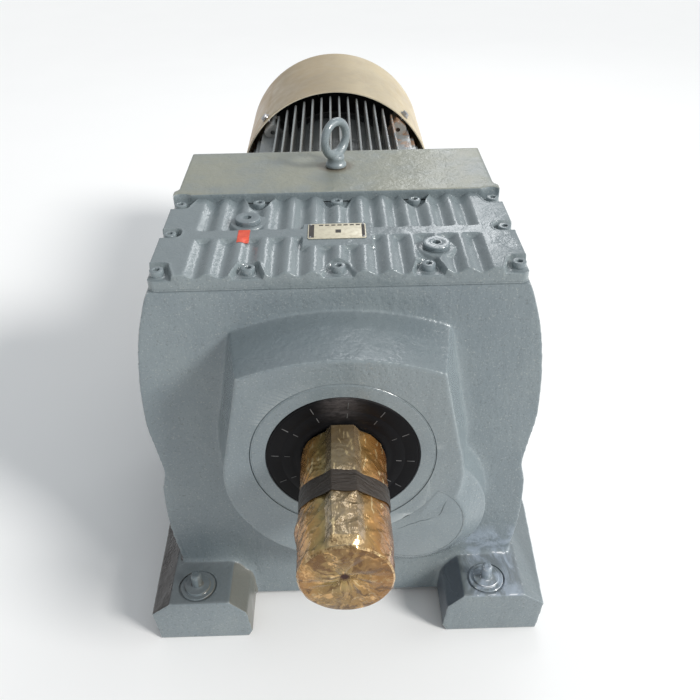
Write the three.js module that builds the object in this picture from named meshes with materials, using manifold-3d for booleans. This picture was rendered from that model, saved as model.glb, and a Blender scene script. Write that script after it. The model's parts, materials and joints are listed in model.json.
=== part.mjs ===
// Foot-mounted inline helical gearmotor: a two-stage gear unit with its motor behind it.
// Millimetres. +Z is up, the output shaft points to -Y, the fan end is +Y.
// Lengths along the shaft are counted from the wrapped tip of the output shaft, and the
// whole assembly is moved at the end so that the origin is under its middle, on the floor.
import * as THREE from 'three';
import { mergeVertices } from 'three/addons/utils/BufferGeometryUtils.js';
import Module from 'manifold-3d';

const wasm = await Module();
wasm.setup();

// ---------- driving dimensions ----------
const LENGTH = 1459;
const AXIS_Z = 355;
const GAP = 0.3;

// output shaft end and its wrapping
const SHAFT_TIP = 2;
const SHAFT_R = 55;
const SHAFT_LENGTH = 201;
const KEY = { width: 28, height: 16, from: 12, to: 190, bottom: 45.3 };
const FILM_THICKNESS = 1.7;
const FILM_END = 199;
const TAPE = { from: 96, to: 128, thickness: 1.6 };

// gear housing
const FOOT_FRONT = 174;
const FOOT_REAR = 752;
const FOOT_TOP = 85;
const FOOT_HOLE = { x: 230, front: 207, rear: 719, r: 19.5 };
const FRONT_SEAT_X = { left: -234.5, right: 220.5 };
const FOOT_STRAIGHT = 380;
const FOOT_FLARE = { left: [0, 4], right: [3.5, 16] };
const SPOT_FACE = { r: 30, depth: 2 };
const BOSS_FACE = 203;
const WALL_LEAN = 0.128;
const WALL_FOOT_Y = 246;
const FRONT_WALL_THICKNESS = 30;
const REAR_WALL = 738;
const REAR_WALL_THICKNESS = 20;
const WALL = 16;
const BODY_BOTTOM = 12;
const JOINT_FACE = 558;
const TOP_BOX = { front: 560, top: 591, recessR: 22 };
const WEB = { front: 455, rear: 500 };
const REAR_POCKET = { x: 192, y: 682, top: 168 };

// gear train: two parallel shafts a centre distance apart
const CENTRE_DISTANCE = 168;
const LAY_ANGLE = THREE.MathUtils.degToRad(-53);
const LAY_X = CENTRE_DISTANCE * Math.cos(LAY_ANGLE);
const LAY_Z = AXIS_Z + CENTRE_DISTANCE * Math.sin(LAY_ANGLE);
const FINAL_STAGE = { normalModule: 7, gearTeeth: 36, pinionTeeth: 11, from: 343, to: 433 };
const FIRST_STAGE = { normalModule: 5, gearTeeth: 49, pinionTeeth: 17, from: 560, to: 612 };

// cover
const COVER = { halfWidth: 257, front: 319, rear: 557, top: 583, pocketFloor: 573 };
const BOLT_X = [-244, -121.5, 0, 121.5, 244];
const BOLT_ROW_FRONT = 335;
const BOLT_ROW_REAR = 543;
const BOLT_MIDDLE = 442;
const COVER_BOLT = { shankR: 6, headR: 9.5, headHeight: 10, depth: 24 };
const PLUGS = {
  breather_plug: { x: -133, y: 475 },
  oil_filler_plug: { x: 137, y: 382 },
};

// motor
const MOTOR = { front: 783, rear: 1128, bodyR: 165, boreR: 140, finTipR: 208 };
const FIN = { pitch: 18.6, thickness: 5, count: 12 };
const COWL = { front: 1133, rear: LENGTH, r: 219, wall: 2.5, screwY: 1158 };
const MOTOR_SHAFT_R = 30;
const MOTOR_BEARING_R = 62;

// circle resolution
const FINE = 24;
const ROUND = 20;
const COARSE = 12;
const SMALL = 6;

// ---------- materials ----------
const paint = (color, roughness, metalness) =>
  new THREE.MeshStandardMaterial({ color, roughness, metalness });
const enamel = paint(0x7f8a8c, 0.35, 0.1);
const steel = paint(0x9a9c9e, 0.3, 0.9);
const gearSteel = paint(0x8b8d90, 0.35, 0.9);
const bearingSteel = paint(0xb9bcc0, 0.2, 1.0);
const darkIron = paint(0x4c4f52, 0.5, 0.7);
const tanSheet = paint(0xb9aa8c, 0.5, 0.2);
const blackRubber = paint(0x1b1a1d, 0.55, 0.0);
const amberFilm = paint(0xb88a3c, 0.2, 0.0);
const darkTape = paint(0x24211f, 0.7, 0.0);
const creamPlate = paint(0xd8d4c4, 0.4, 0.2);
const redLabel = paint(0xd8452a, 0.6, 0.0);
const gasketPaper = paint(0x54524a, 0.9, 0.0);
const plasticBlack = paint(0x2a2c2e, 0.6, 0.0);

// ---------- solids ----------
// Joins shared corners, drops collapsed faces and turns the faces outwards.
function solid(geometry) {
  const bare = geometry.clone();
  bare.deleteAttribute('normal');
  bare.deleteAttribute('uv');
  const merged = mergeVertices(bare, 1e-3);
  const vertProperties = new Float32Array(merged.attributes.position.array);
  const corners = merged.index.array;
  const kept = [];
  let volume = 0;
  const a = new THREE.Vector3();
  const b = new THREE.Vector3();
  const c = new THREE.Vector3();
  for (let i = 0; i < corners.length; i += 3) {
    const [p, q, r] = [corners[i], corners[i + 1], corners[i + 2]];
    if (p === q || q === r || r === p) continue;
    kept.push(p, q, r);
    a.fromArray(vertProperties, 3 * p);
    b.fromArray(vertProperties, 3 * q);
    c.fromArray(vertProperties, 3 * r);
    volume += a.dot(b.cross(c));
  }
  if (volume < 0) kept.reverse();
  const triVerts = new Uint32Array(kept);
  return new wasm.Manifold(new wasm.Mesh({ numProp: 3, vertProperties, triVerts }));
}

const join = (...solids) => solids.reduce((sum, next) => sum.add(next));
const cut = (body, ...tools) => tools.reduce((rest, tool) => rest.subtract(tool), body);

function box(x0, x1, y0, y1, z0, z1) {
  const geometry = new THREE.BoxGeometry(x1 - x0, y1 - y0, z1 - z0);
  geometry.translate((x0 + x1) / 2, (y0 + y1) / 2, (z0 + z1) / 2);
  return solid(geometry);
}

// An outline in X and Z, drawn out along Y.
function prismY(shape, y0, y1, curveSegments = 8) {
  const geometry = new THREE.ExtrudeGeometry(shape, { depth: y1 - y0, bevelEnabled: false, curveSegments });
  geometry.rotateX(Math.PI / 2);
  geometry.translate(0, y1, 0);
  return solid(geometry);
}

// An outline in X and Y, drawn up along Z.
function prismZ(shape, z0, z1, curveSegments = 6) {
  const geometry = new THREE.ExtrudeGeometry(shape, { depth: z1 - z0, bevelEnabled: false, curveSegments });
  geometry.translate(0, 0, z0);
  return solid(geometry);
}

function cylinderY(r, y0, y1, x = 0, z = AXIS_Z, segments = ROUND) {
  const geometry = new THREE.CylinderGeometry(r, r, y1 - y0, segments);
  geometry.translate(x, (y0 + y1) / 2, z);
  return solid(geometry);
}

function cylinderZ(r, z0, z1, x, y, segments = COARSE) {
  const geometry = new THREE.CylinderGeometry(r, r, z1 - z0, segments);
  geometry.rotateX(Math.PI / 2);
  geometry.translate(x, y, (z0 + z1) / 2);
  return solid(geometry);
}

function cylinderX(r, x0, x1, y, z, segments = COARSE) {
  const geometry = new THREE.CylinderGeometry(r, r, x1 - x0, segments);
  geometry.rotateZ(Math.PI / 2);
  geometry.translate((x0 + x1) / 2, y, z);
  return solid(geometry);
}

// A profile of [radius, y] points turned about an axis along Y.
function revolve(profile, x = 0, z = AXIS_Z, segments = ROUND) {
  const points = profile.map(([r, y]) => new THREE.Vector2(r, y));
  points.push(points[0].clone());
  const geometry = new THREE.LatheGeometry(points, segments);
  geometry.translate(x, 0, z);
  return solid(geometry);
}

const tube = (inner, outer, y0, y1, x = 0, z = AXIS_Z, segments = ROUND) =>
  revolve([[inner, y0], [outer, y0], [outer, y1], [inner, y1]], x, z, segments);

// Walls between two outlines in X and Z with the same number of corners, one at each depth.
function loft(front, frontY, rear, rearY) {
  const count = front.length;
  const position = [];
  for (const [outline, y] of [[front, frontY], [rear, rearY]]) {
    for (const point of outline) position.push(point.x, y, point.y);
  }
  const index = [];
  for (let i = 0; i < count; i += 1) {
    const next = (i + 1) % count;
    index.push(i, next, count + i, next, count + next, count + i);
  }
  for (const [p, q, r] of THREE.ShapeUtils.triangulateShape(front, [])) {
    index.push(r, q, p, count + p, count + q, count + r);
  }
  const geometry = new THREE.BufferGeometry();
  geometry.setAttribute('position', new THREE.Float32BufferAttribute(position, 3));
  geometry.setIndex(index);
  return solid(geometry);
}

const outline = (points) => new THREE.Shape(points.map(([x, z]) => new THREE.Vector2(x, z)));

function roundedRect(x0, x1, y0, y1, r) {
  const shape = new THREE.Shape();
  shape.absarc(x1 - r, y1 - r, r, 0, Math.PI / 2);
  shape.absarc(x0 + r, y1 - r, r, Math.PI / 2, Math.PI);
  shape.absarc(x0 + r, y0 + r, r, Math.PI, 1.5 * Math.PI);
  shape.absarc(x1 - r, y0 + r, r, 1.5 * Math.PI, 2 * Math.PI);
  return shape;
}

// ---------- assembly ----------
const assembly = new THREE.Group();
assembly.position.y = -LENGTH / 2;

function add(name, body, material) {
  const mesh = body.getMesh();
  const geometry = new THREE.BufferGeometry();
  geometry.setAttribute('position', new THREE.BufferAttribute(mesh.vertProperties, 3));
  geometry.setIndex(new THREE.BufferAttribute(mesh.triVerts, 1));
  geometry.computeVertexNormals();
  const part = new THREE.Mesh(geometry, material);
  part.name = name;
  assembly.add(part);
  return part;
}

// ---------- gear housing ----------
// Half of the body's cross-section, from the underside up to the cover joint.
const BODY_SIDE = [
  [250, BODY_BOTTOM],
  [266, 100],
  [276, 160],
  [278, 225],
  [272, 262],
  [279, 305],
  [287, 350],
  [287, 415],
  [279, 485],
  [265, 538],
  [257, JOINT_FACE],
];

const mirrored = (side) => [...side, ...side.map(([x, z]) => [-x, z]).reverse()];

const leaningY = (z) => WALL_FOOT_Y + WALL_LEAN * z;

// Everything in front of the leaning front wall.
function frontWedge(offset) {
  const bottom = -50;
  const top = 700;
  const side = new THREE.Shape();
  side.moveTo(-100, bottom);
  side.lineTo(leaningY(bottom) + offset, bottom);
  side.lineTo(leaningY(top) + offset, top);
  side.lineTo(-100, top);
  const geometry = new THREE.ExtrudeGeometry(side, { depth: 800, bevelEnabled: false });
  geometry.rotateX(Math.PI / 2);
  geometry.rotateZ(Math.PI / 2);
  geometry.translate(-400, 0, 0);
  return solid(geometry);
}

function bodyBlock() {
  const block = prismY(outline(mirrored(BODY_SIDE)), 200, REAR_WALL);
  const topSide = [[254, JOINT_FACE - 1], [251, TOP_BOX.top - 6], [248, TOP_BOX.top]];
  const topBox = prismY(outline(mirrored(topSide)), TOP_BOX.front, REAR_WALL);
  const ears = [-1, 1].map((side) => {
    const ear = [[235, 0], [257, 0], [257, 16], [249, 24], [235, 24]];
    const shape = outline(ear.map(([x, y]) => [side * x, TOP_BOX.front + y]));
    return prismZ(shape, JOINT_FACE - 1, TOP_BOX.top);
  });
  const recesses = [-1, 1].map((side) =>
    cylinderZ(TOP_BOX.recessR, COVER.pocketFloor, TOP_BOX.top + 5, side * BOLT_X[4], BOLT_ROW_REAR));
  return join(cut(block, frontWedge(0)), cut(join(topBox, ...ears), ...recesses));
}

function cavity() {
  const side = BODY_SIDE.slice(1, -1).map(([x, z]) => [x - WALL, z]);
  side.unshift([BODY_SIDE[0][0] - WALL, BODY_BOTTOM + WALL]);
  side.push([230, 540], [230, JOINT_FACE + 5]);
  const room = cut(prismY(outline(mirrored(side)), 240, REAR_WALL - REAR_WALL_THICKNESS), frontWedge(FRONT_WALL_THICKNESS));
  const overhead = box(-300, 300, COVER.rear - 18, REAR_WALL, 548, JOINT_FACE + 20);
  const roof = box(-228, 228, COVER.rear - 18, REAR_WALL - REAR_WALL_THICKNESS, 500, TOP_BOX.top - WALL);
  const web = box(-300, 300, WEB.front, WEB.rear, 0, 520);
  return cut(join(cut(room, overhead), roof), web, rearPocket(-1, WALL), rearPocket(1, WALL));
}

// The recess above a rear foot hole, or the room it needs with a wall around it.
function rearPocket(side, wall) {
  const edges = [side * (REAR_POCKET.x - wall), side * 330].sort((a, b) => a - b);
  return box(...edges, REAR_POCKET.y - wall, REAR_WALL + 5, FOOT_TOP - wall, REAR_POCKET.top + wall);
}

// One foot rail in cross-section, bevelled along its top and bottom edges.
const FOOT_SIDE = [[158, 0], [299, 0], [305, 61], [274, FOOT_TOP], [182, FOOT_TOP], [157, 58], [151.5, 13]];

// A rail's outer side spreads a little from its front end back to where it runs straight.
function footRail(name) {
  const side = name === 'left' ? -1 : 1;
  const [front, rear] = FOOT_FLARE[name].map((flare) => {
    const points = FOOT_SIDE.map(([x, z]) => new THREE.Vector2(side * (x > 290 ? x + flare : x), z));
    return side < 0 ? points.reverse() : points;
  });
  const rail = join(
    loft(front, FOOT_FRONT, rear, FOOT_STRAIGHT),
    prismY(new THREE.Shape(rear), FOOT_STRAIGHT, FOOT_REAR),
  );
  const seats = [[FRONT_SEAT_X[name], FOOT_HOLE.front], [side * FOOT_HOLE.x, FOOT_HOLE.rear]];
  const tools = [
    ...[FOOT_HOLE.front, FOOT_HOLE.rear].map((y) => cylinderZ(FOOT_HOLE.r, -5, FOOT_TOP + 5, side * FOOT_HOLE.x, y)),
    ...seats.map(([x, y]) => cylinderZ(SPOT_FACE.r, FOOT_TOP - SPOT_FACE.depth, FOOT_TOP + 5, x, y, ROUND)),
  ];
  return { rail, tools };
}

// The output boss: a gently arched top between two corners, and a round lower part.
const BOSS = { cornerX: 135, cornerZ: 139, crown: 27, roundR: 168, roundZ: -38 };

function bossOutline(spread) {
  const points = [];
  const cornerX = BOSS.cornerX + spread;
  const cornerZ = BOSS.cornerZ + spread / 8;
  const archR = (cornerX ** 2 + BOSS.crown ** 2) / (2 * BOSS.crown);
  const halfArch = Math.asin(cornerX / archR);
  const archSteps = 6;
  for (let i = 0; i <= archSteps; i += 1) {
    const angle = halfArch * (1 - (2 * i) / archSteps);
    points.push([archR * Math.sin(angle), cornerZ + archR * (Math.cos(angle) - Math.cos(halfArch))]);
  }
  const roundSteps = 14;
  const start = Math.PI - 0.3;
  for (let i = 0; i <= roundSteps; i += 1) {
    const angle = start + ((Math.PI + 0.6) * i) / roundSteps;
    const r = BOSS.roundR + spread;
    points.push([r * Math.cos(angle), BOSS.roundZ + r * Math.sin(angle)]);
  }
  return points.map(([x, z]) => new THREE.Vector2(x, z + AXIS_Z));
}

const SECOND_BOSS = { capR: 73, faceR: 76, stepR: 110, rootR: 118 };

function bosses() {
  const main = loft(bossOutline(0), BOSS_FACE, bossOutline(22), 330);
  const second = revolve(
    [[0, BOSS_FACE], [SECOND_BOSS.faceR, BOSS_FACE], [SECOND_BOSS.stepR, 228], [SECOND_BOSS.rootR, 320], [0, 320]],
    LAY_X,
    LAY_Z,
    FINE,
  );
  return join(main, second);
}

// Bores on the output axis and on the intermediate axis.
const COVER_RING = { r: 128.5, depth: 22 };
const SEAL = { r: 106, inner: 56.5, depth: 18 };
const OUT_FRONT = { r: 100, inner: 61, from: 238, to: 286 };
const OUT_REAR = { r: 75, inner: 51, from: 458, to: 496 };
const LAY_FRONT = { r: 52, inner: 26, from: 262, to: 295 };
const LAY_REAR = { r: 52, inner: 26, from: 700, to: 733 };
const CAP_DEPTH = 6;
const CAP_BITE_R = 150;

function bores() {
  return [
    cylinderY(COVER_RING.r + GAP, BOSS_FACE - 5, BOSS_FACE + COVER_RING.depth, 0, AXIS_Z, FINE),
    cylinderY(OUT_FRONT.r + GAP, BOSS_FACE, 341, 0, AXIS_Z),
    cylinderY(OUT_REAR.r + GAP, WEB.front - 5, WEB.rear + 5),
    cylinderY(70, WEB.front - 5, WEB.rear + 5, LAY_X, LAY_Z),
    cylinderY(40, WEB.front - 5, WEB.rear + 5, -120, 130, COARSE),
    cylinderY(LAY_FRONT.r + GAP, LAY_FRONT.from - 2, 340, LAY_X, LAY_Z),
    cylinderY(20, BOSS_FACE, LAY_FRONT.from, LAY_X, LAY_Z, COARSE),
    cylinderY(LAY_REAR.r + GAP, 690, LAY_REAR.to + 1, LAY_X, LAY_Z),
    cylinderY(72, REAR_WALL - 40, REAR_WALL + 5),
    capBody(SECOND_BOSS.capR + GAP, CAP_BITE_R - GAP, BOSS_FACE - 5, BOSS_FACE + CAP_DEPTH + GAP),
  ];
}

// A disc with a round bite where the output boss passes in front of it.
function capBody(r, biteR, y0, y1) {
  const disc = cylinderY(r, y0, y1, LAY_X, LAY_Z, FINE);
  return cut(disc, cylinderY(biteR, y0 - 5, y1 + 5, 0, AXIS_Z, FINE));
}

const COVER_BOLTS = [
  ...BOLT_X.map((x) => [x, BOLT_ROW_REAR]),
  [BOLT_X[0], BOLT_MIDDLE],
  [BOLT_X[4], BOLT_MIDDLE],
  ...BOLT_X.map((x) => [x, BOLT_ROW_FRONT]),
];
const DRAIN = { x: -150, z: 100 };
const LEVEL = { y: 520, z: 225 };
const EYEBOLT_Y = 663;

function gearHousing() {
  const rails = [footRail('left'), footRail('right')];
  const shell = cut(join(bodyBlock(), bosses()), cavity());
  const levelBoss = cylinderX(20, -284, -264, LEVEL.y, LEVEL.z);
  const recessed = cut(join(shell, cut(levelBoss, cavity())), rearPocket(-1, 0), rearPocket(1, 0));
  const whole = join(recessed, rails[0].rail, rails[1].rail);
  const boltHoles = COVER_BOLTS.map(([x, y]) =>
    cylinderZ(COVER_BOLT.shankR + GAP, JOINT_FACE - COVER_BOLT.depth, JOINT_FACE + 1, x, y, SMALL));
  const plugHoles = [
    cylinderY(10.3, REAR_WALL - 40, REAR_WALL + 5, DRAIN.x, DRAIN.z, SMALL),
    cylinderX(10.3, -300, -240, LEVEL.y, LEVEL.z, SMALL),
    cylinderZ(12.3, TOP_BOX.top - 8, TOP_BOX.top + 5, 0, EYEBOLT_Y, COARSE),
  ];
  return cut(whole, ...rails.flatMap((rail) => rail.tools), ...bores(), ...boltHoles, ...plugHoles);
}

add('gear_housing', gearHousing(), enamel);

// ---------- cover ----------
const BANKS = [
  { from: COVER.front - 5, to: 424 },
  { from: 446, to: COVER.rear + 5 },
];
const GROOVE = { pitch: 35, count: 12, topHalf: 13, bottomHalf: 5, depth: 7 };
const PLATE_PAD = { x: 50, from: 394, to: 462 };
const PLUG_BOSS_R = 26;

// A bank of wave-shaped grooves that run along the shaft.
function grooveBank({ from, to }) {
  const middle = (GROOVE.count - 1) / 2;
  const [low, high] = [COVER.top - GROOVE.depth, COVER.top + 1];
  const grooves = Array.from({ length: GROOVE.count }, (_, i) => {
    const x = (i - middle) * GROOVE.pitch;
    const corners = [
      [x - GROOVE.topHalf, high],
      [x - GROOVE.bottomHalf, low],
      [x + GROOVE.bottomHalf, low],
      [x + GROOVE.topHalf, high],
    ];
    return prismY(outline(corners), from, to);
  });
  return join(...grooves);
}

// A pocket around one bolt, wider towards the edge of the cover where it opens.
function boltPocket(x, y) {
  const out = 40;
  const turn = { [BOLT_ROW_FRONT]: -Math.PI / 2, [BOLT_ROW_REAR]: Math.PI / 2, [BOLT_MIDDLE]: x > 0 ? 0 : Math.PI }[y];
  const corners = y === BOLT_MIDDLE
    ? [[-14, -6], [-8, -12], [out, -13], [out, 13], [-8, 12], [-14, 6]]
    : [[-17, -9], [-8, -15], [out, -24], [out, 24], [-8, 15], [-17, 9]];
  const shape = outline(corners.map(([along, aside]) => [
    x + along * Math.cos(turn) - aside * Math.sin(turn),
    y + along * Math.sin(turn) + aside * Math.cos(turn),
  ]));
  return prismZ(shape, COVER.pocketFloor, COVER.top + 5);
}

function cornerPocket(x, y) {
  const [x0, x1] = [x, x * 1.2].sort((a, b) => a - b);
  const [y0, y1] = y === BOLT_ROW_FRONT ? [COVER.front - 5, y + 17] : [y - 17, COVER.rear + 5];
  return box(x0, x1, y0, y1, COVER.pocketFloor, COVER.top + 5);
}

function inspectionCover() {
  const base = JOINT_FACE + 2;
  const plate = prismZ(roundedRect(-COVER.halfWidth, COVER.halfWidth, COVER.front, COVER.rear, 12), base, COVER.top, 3);
  const platePad = box(-PLATE_PAD.x, PLATE_PAD.x, PLATE_PAD.from, PLATE_PAD.to, COVER.pocketFloor, COVER.top);
  const plugBosses = Object.values(PLUGS).map(({ x, y }) => cylinderZ(PLUG_BOSS_R, COVER.pocketFloor, COVER.top, x, y));
  const ribbed = join(cut(plate, ...BANKS.map(grooveBank)), platePad, ...plugBosses);
  const pockets = COVER_BOLTS.map(([x, y]) => boltPocket(x, y));
  const corners = COVER_BOLTS.filter(([x, y]) => Math.abs(x) === BOLT_X[4] && y !== BOLT_MIDDLE);
  const holes = COVER_BOLTS.map(([x, y]) => cylinderZ(COVER_BOLT.shankR + GAP, base - 5, COVER.top, x, y, SMALL));
  const plugHoles = Object.values(PLUGS).map(({ x, y }) => cylinderZ(14.3, base - 5, COVER.top + 5, x, y));
  return cut(ribbed, ...pockets, ...corners.map(([x, y]) => cornerPocket(x, y)), ...holes, ...plugHoles);
}

function coverGasket() {
  const [low, high] = [JOINT_FACE + GAP, JOINT_FACE + 2 - GAP];
  const sheet = prismZ(roundedRect(-255, 255, COVER.front + 2, COVER.rear - 1, 12), low, high, 3);
  const window = box(-228, 228, 352, 526, low - 1, high + 1);
  const holes = COVER_BOLTS.map(([x, y]) => cylinderZ(COVER_BOLT.shankR + GAP, low - 1, high + 1, x, y, SMALL));
  return cut(sheet, window, ...holes);
}

function coverBolt(x, y) {
  const seat = COVER.pocketFloor + GAP;
  const { shankR, headR, headHeight, depth } = COVER_BOLT;
  const head = cylinderZ(headR, seat, seat + headHeight, x, y, COARSE);
  const shank = cylinderZ(shankR, JOINT_FACE - depth + 1, seat + 1, x, y, SMALL);
  const socket = cylinderZ(5, seat + headHeight - 6, seat + headHeight + 5, x, y, 6);
  return cut(join(head, shank), socket);
}

// A screwed plug: shank in the cover, flange on its boss and a socket to turn it.
function coverPlug({ x, y }) {
  const seat = COVER.top + GAP;
  const top = seat + 7;
  const plug = join(cylinderZ(14, JOINT_FACE + 4, seat + 1, x, y, COARSE), cylinderZ(19, seat, top, x, y, ROUND));
  return cut(plug, cylinderZ(7, top - 6, top + 5, x, y, 6));
}

add('inspection_cover', inspectionCover(), enamel);
add('cover_gasket', coverGasket(), gasketPaper);
COVER_BOLTS.forEach(([x, y], i) => {
  add(`cover_bolt_${String(i + 1).padStart(2, '0')}`, coverBolt(x, y), enamel);
});
for (const [name, place] of Object.entries(PLUGS)) add(name, coverPlug(place), enamel);

const PLATE = { x0: -43, x1: 41, y0: 412, y1: 459 };
const LABEL = { x0: -144, x1: -127, y0: 409, y1: 446 };
const ON_COVER = COVER.top + GAP;
add('nameplate', box(PLATE.x0, PLATE.x1, PLATE.y0, PLATE.y1, ON_COVER, ON_COVER + 1), creamPlate);
add('marking_label', box(LABEL.x0, LABEL.x1, LABEL.y0, LABEL.y1, ON_COVER, ON_COVER + 0.8), redLabel);

// ---------- eyebolt, plugs and studs ----------
const EYE = { ringR: 27, wireR: 7, centre: 48.3, turn: THREE.MathUtils.degToRad(50) };

function liftingEyebolt() {
  const base = TOP_BOX.top + GAP;
  const ring = new THREE.TorusGeometry(EYE.ringR, EYE.wireR, 6, 16);
  ring.rotateX(Math.PI / 2);
  ring.rotateZ(EYE.turn);
  ring.translate(0, EYEBOLT_Y, TOP_BOX.top + EYE.centre);
  const collar = new THREE.CylinderGeometry(13, 17.5, 18, COARSE);
  collar.rotateX(Math.PI / 2);
  collar.translate(0, EYEBOLT_Y, base + 9);
  return join(solid(ring), solid(collar), cylinderZ(12, TOP_BOX.top - 7, base + 1, 0, EYEBOLT_Y, COARSE));
}

add('lifting_eyebolt', liftingEyebolt(), enamel);

function drainPlug() {
  const seat = REAR_WALL + GAP;
  return join(
    cylinderY(10, REAR_WALL - 18, seat + 1, DRAIN.x, DRAIN.z, SMALL),
    cylinderY(16, seat, seat + 4, DRAIN.x, DRAIN.z, COARSE),
    cylinderY(11, seat + 3, seat + 11, DRAIN.x, DRAIN.z, 6),
  );
}

function levelPlug() {
  const seat = -284 - GAP;
  return join(
    cylinderX(10, seat - 1, -266, LEVEL.y, LEVEL.z, SMALL),
    cylinderX(16, seat - 4, seat, LEVEL.y, LEVEL.z, COARSE),
    cylinderX(11, seat - 11, seat - 3, LEVEL.y, LEVEL.z, 6),
  );
}

add('drain_plug', drainPlug(), steel);
add('oil_level_plug', levelPlug(), steel);

const WASHER = { r: 27, thickness: 6 };
const STUD = { r: 8, bottom: 4, top: FOOT_TOP + 30 };

for (const [name, x] of Object.entries(FRONT_SEAT_X)) {
  const y = FOOT_HOLE.front;
  const seat = FOOT_TOP - SPOT_FACE.depth + GAP;
  const washer = cylinderZ(WASHER.r, seat, seat + WASHER.thickness, x, y, ROUND);
  add(`foot_washer_${name}`, cut(washer, cylinderZ(STUD.r + GAP, seat - 5, FOOT_TOP + 20, x, y, COARSE)), enamel);
  add(`foot_stud_${name}`, cylinderZ(STUD.r, STUD.bottom, STUD.top, x, y, COARSE), enamel);
}

// ---------- gears ----------
// Both stages share the centre distance, so it and the teeth set the transverse module.
const transverseModule = ({ gearTeeth, pinionTeeth }) => (2 * CENTRE_DISTANCE) / (gearTeeth + pinionTeeth);

// An outline with straight-sided teeth, slim enough to leave backlash.
function gearOutline(module, teeth, phase) {
  const pitchR = (module * teeth) / 2;
  const root = { r: pitchR - 1.2 * module, half: 0.33 };
  const tip = { r: pitchR + 0.85 * module, half: 0.12 };
  const toothAngle = (2 * Math.PI) / teeth;
  const points = [];
  for (let i = 0; i < teeth; i += 1) {
    const middle = phase + i * toothAngle;
    const corners = [[root.r, -root.half], [tip.r, -tip.half], [tip.r, tip.half], [root.r, root.half]];
    for (const [r, share] of corners) {
      const angle = middle + share * toothAngle;
      points.push([r * Math.cos(angle), r * Math.sin(angle)]);
    }
  }
  return points;
}

// The outline turned by the helix from one face to the other, on its shaft's axis.
function helicalGear(stage, teeth, phase, twist, x, z) {
  const place = (turn) => gearOutline(transverseModule(stage), teeth, phase + turn)
    .map(([px, pz]) => new THREE.Vector2(px + x, pz + z));
  return loft(place(-twist / 2), stage.from, place(twist / 2), stage.to);
}

// A gear tooth lies on the line of centres where the pinion has a gap, and their helices
// have opposite hands.
function gearPair(stage, gearAt, pinionAt, lineAngle) {
  const ratio = stage.gearTeeth / stage.pinionTeeth;
  const module = transverseModule(stage);
  const helixAngle = Math.acos(stage.normalModule / module);
  const gearR = (module * stage.gearTeeth) / 2;
  const twist = ((stage.to - stage.from) * Math.tan(helixAngle)) / gearR;
  const pinionPhase = lineAngle + Math.PI + Math.PI / stage.pinionTeeth;
  return {
    gear: helicalGear(stage, stage.gearTeeth, lineAngle, twist, ...gearAt),
    pinion: helicalGear(stage, stage.pinionTeeth, pinionPhase, -twist * ratio, ...pinionAt),
  };
}

const finalPair = gearPair(FINAL_STAGE, [0, AXIS_Z], [LAY_X, LAY_Z], LAY_ANGLE);
const firstPair = gearPair(FIRST_STAGE, [LAY_X, LAY_Z], [0, AXIS_Z], LAY_ANGLE + Math.PI);

// ---------- output shaft ----------
const GEAR_SEAT_R = 64;

function outputShaft() {
  const body = revolve([
    [0, SHAFT_TIP],
    [SHAFT_R - 3, SHAFT_TIP],
    [SHAFT_R, SHAFT_TIP + 3],
    [SHAFT_R, SHAFT_TIP + SHAFT_LENGTH + 30],
    [60, SHAFT_TIP + SHAFT_LENGTH + 33],
    [60, 300],
    [GEAR_SEAT_R, 302],
    [GEAR_SEAT_R, 440],
    [50, 442],
    [50, 505],
    [0, 505],
  ]);
  const keyway = box(
    -KEY.width / 2 - GAP,
    KEY.width / 2 + GAP,
    KEY.from - GAP,
    KEY.to + GAP,
    AXIS_Z + KEY.bottom - GAP,
    AXIS_Z + 80,
  );
  return cut(body, keyway);
}

function outputKey() {
  const half = KEY.width / 2;
  const shape = roundedRect(-half, half, KEY.from, KEY.to, half - 0.5);
  return prismZ(shape, AXIS_Z + KEY.bottom, AXIS_Z + KEY.bottom + KEY.height, 4);
}

// The wrapped shaft in cross-section: a circle with the key's ridge tented over its top.
function wrapOutline(clearance) {
  const r = SHAFT_R + clearance;
  const ridgeTop = KEY.bottom + KEY.height + clearance;
  const ridgeHalf = KEY.width / 2 + clearance;
  const tent = 0.5;
  const steps = 20;
  const points = [[ridgeHalf, ridgeTop], [-ridgeHalf, ridgeTop]];
  for (let i = 0; i <= steps; i += 1) {
    const angle = Math.PI / 2 + tent + ((2 * Math.PI - 2 * tent) * i) / steps;
    points.push([r * Math.cos(angle), r * Math.sin(angle)]);
  }
  return outline(points.map(([x, z]) => [x, z + AXIS_Z]));
}

function shaftFilm() {
  const outer = prismY(wrapOutline(1 + FILM_THICKNESS), 0, FILM_END);
  const inner = prismY(wrapOutline(1), SHAFT_TIP - GAP, FILM_END + 5);
  return cut(outer, inner);
}

function tapeBand() {
  const inner = 1 + FILM_THICKNESS + GAP;
  const outer = prismY(wrapOutline(inner + TAPE.thickness), TAPE.from, TAPE.to);
  return cut(outer, prismY(wrapOutline(inner), TAPE.from - 5, TAPE.to + 5));
}

add('output_shaft', outputShaft(), steel);
add('output_key', outputKey(), steel);
add('shaft_film', shaftFilm(), amberFilm);
add('tape_band', tapeBand(), darkTape);
add('output_gear', cut(finalPair.gear, cylinderY(GEAR_SEAT_R + GAP, 300, 460)), gearSteel);

// ---------- seals, covers and bearings of the gear unit ----------
const bearing = ({ r, inner, from, to }, x = 0, z = AXIS_Z) => tube(inner, r, from, to, x, z, ROUND);

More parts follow.
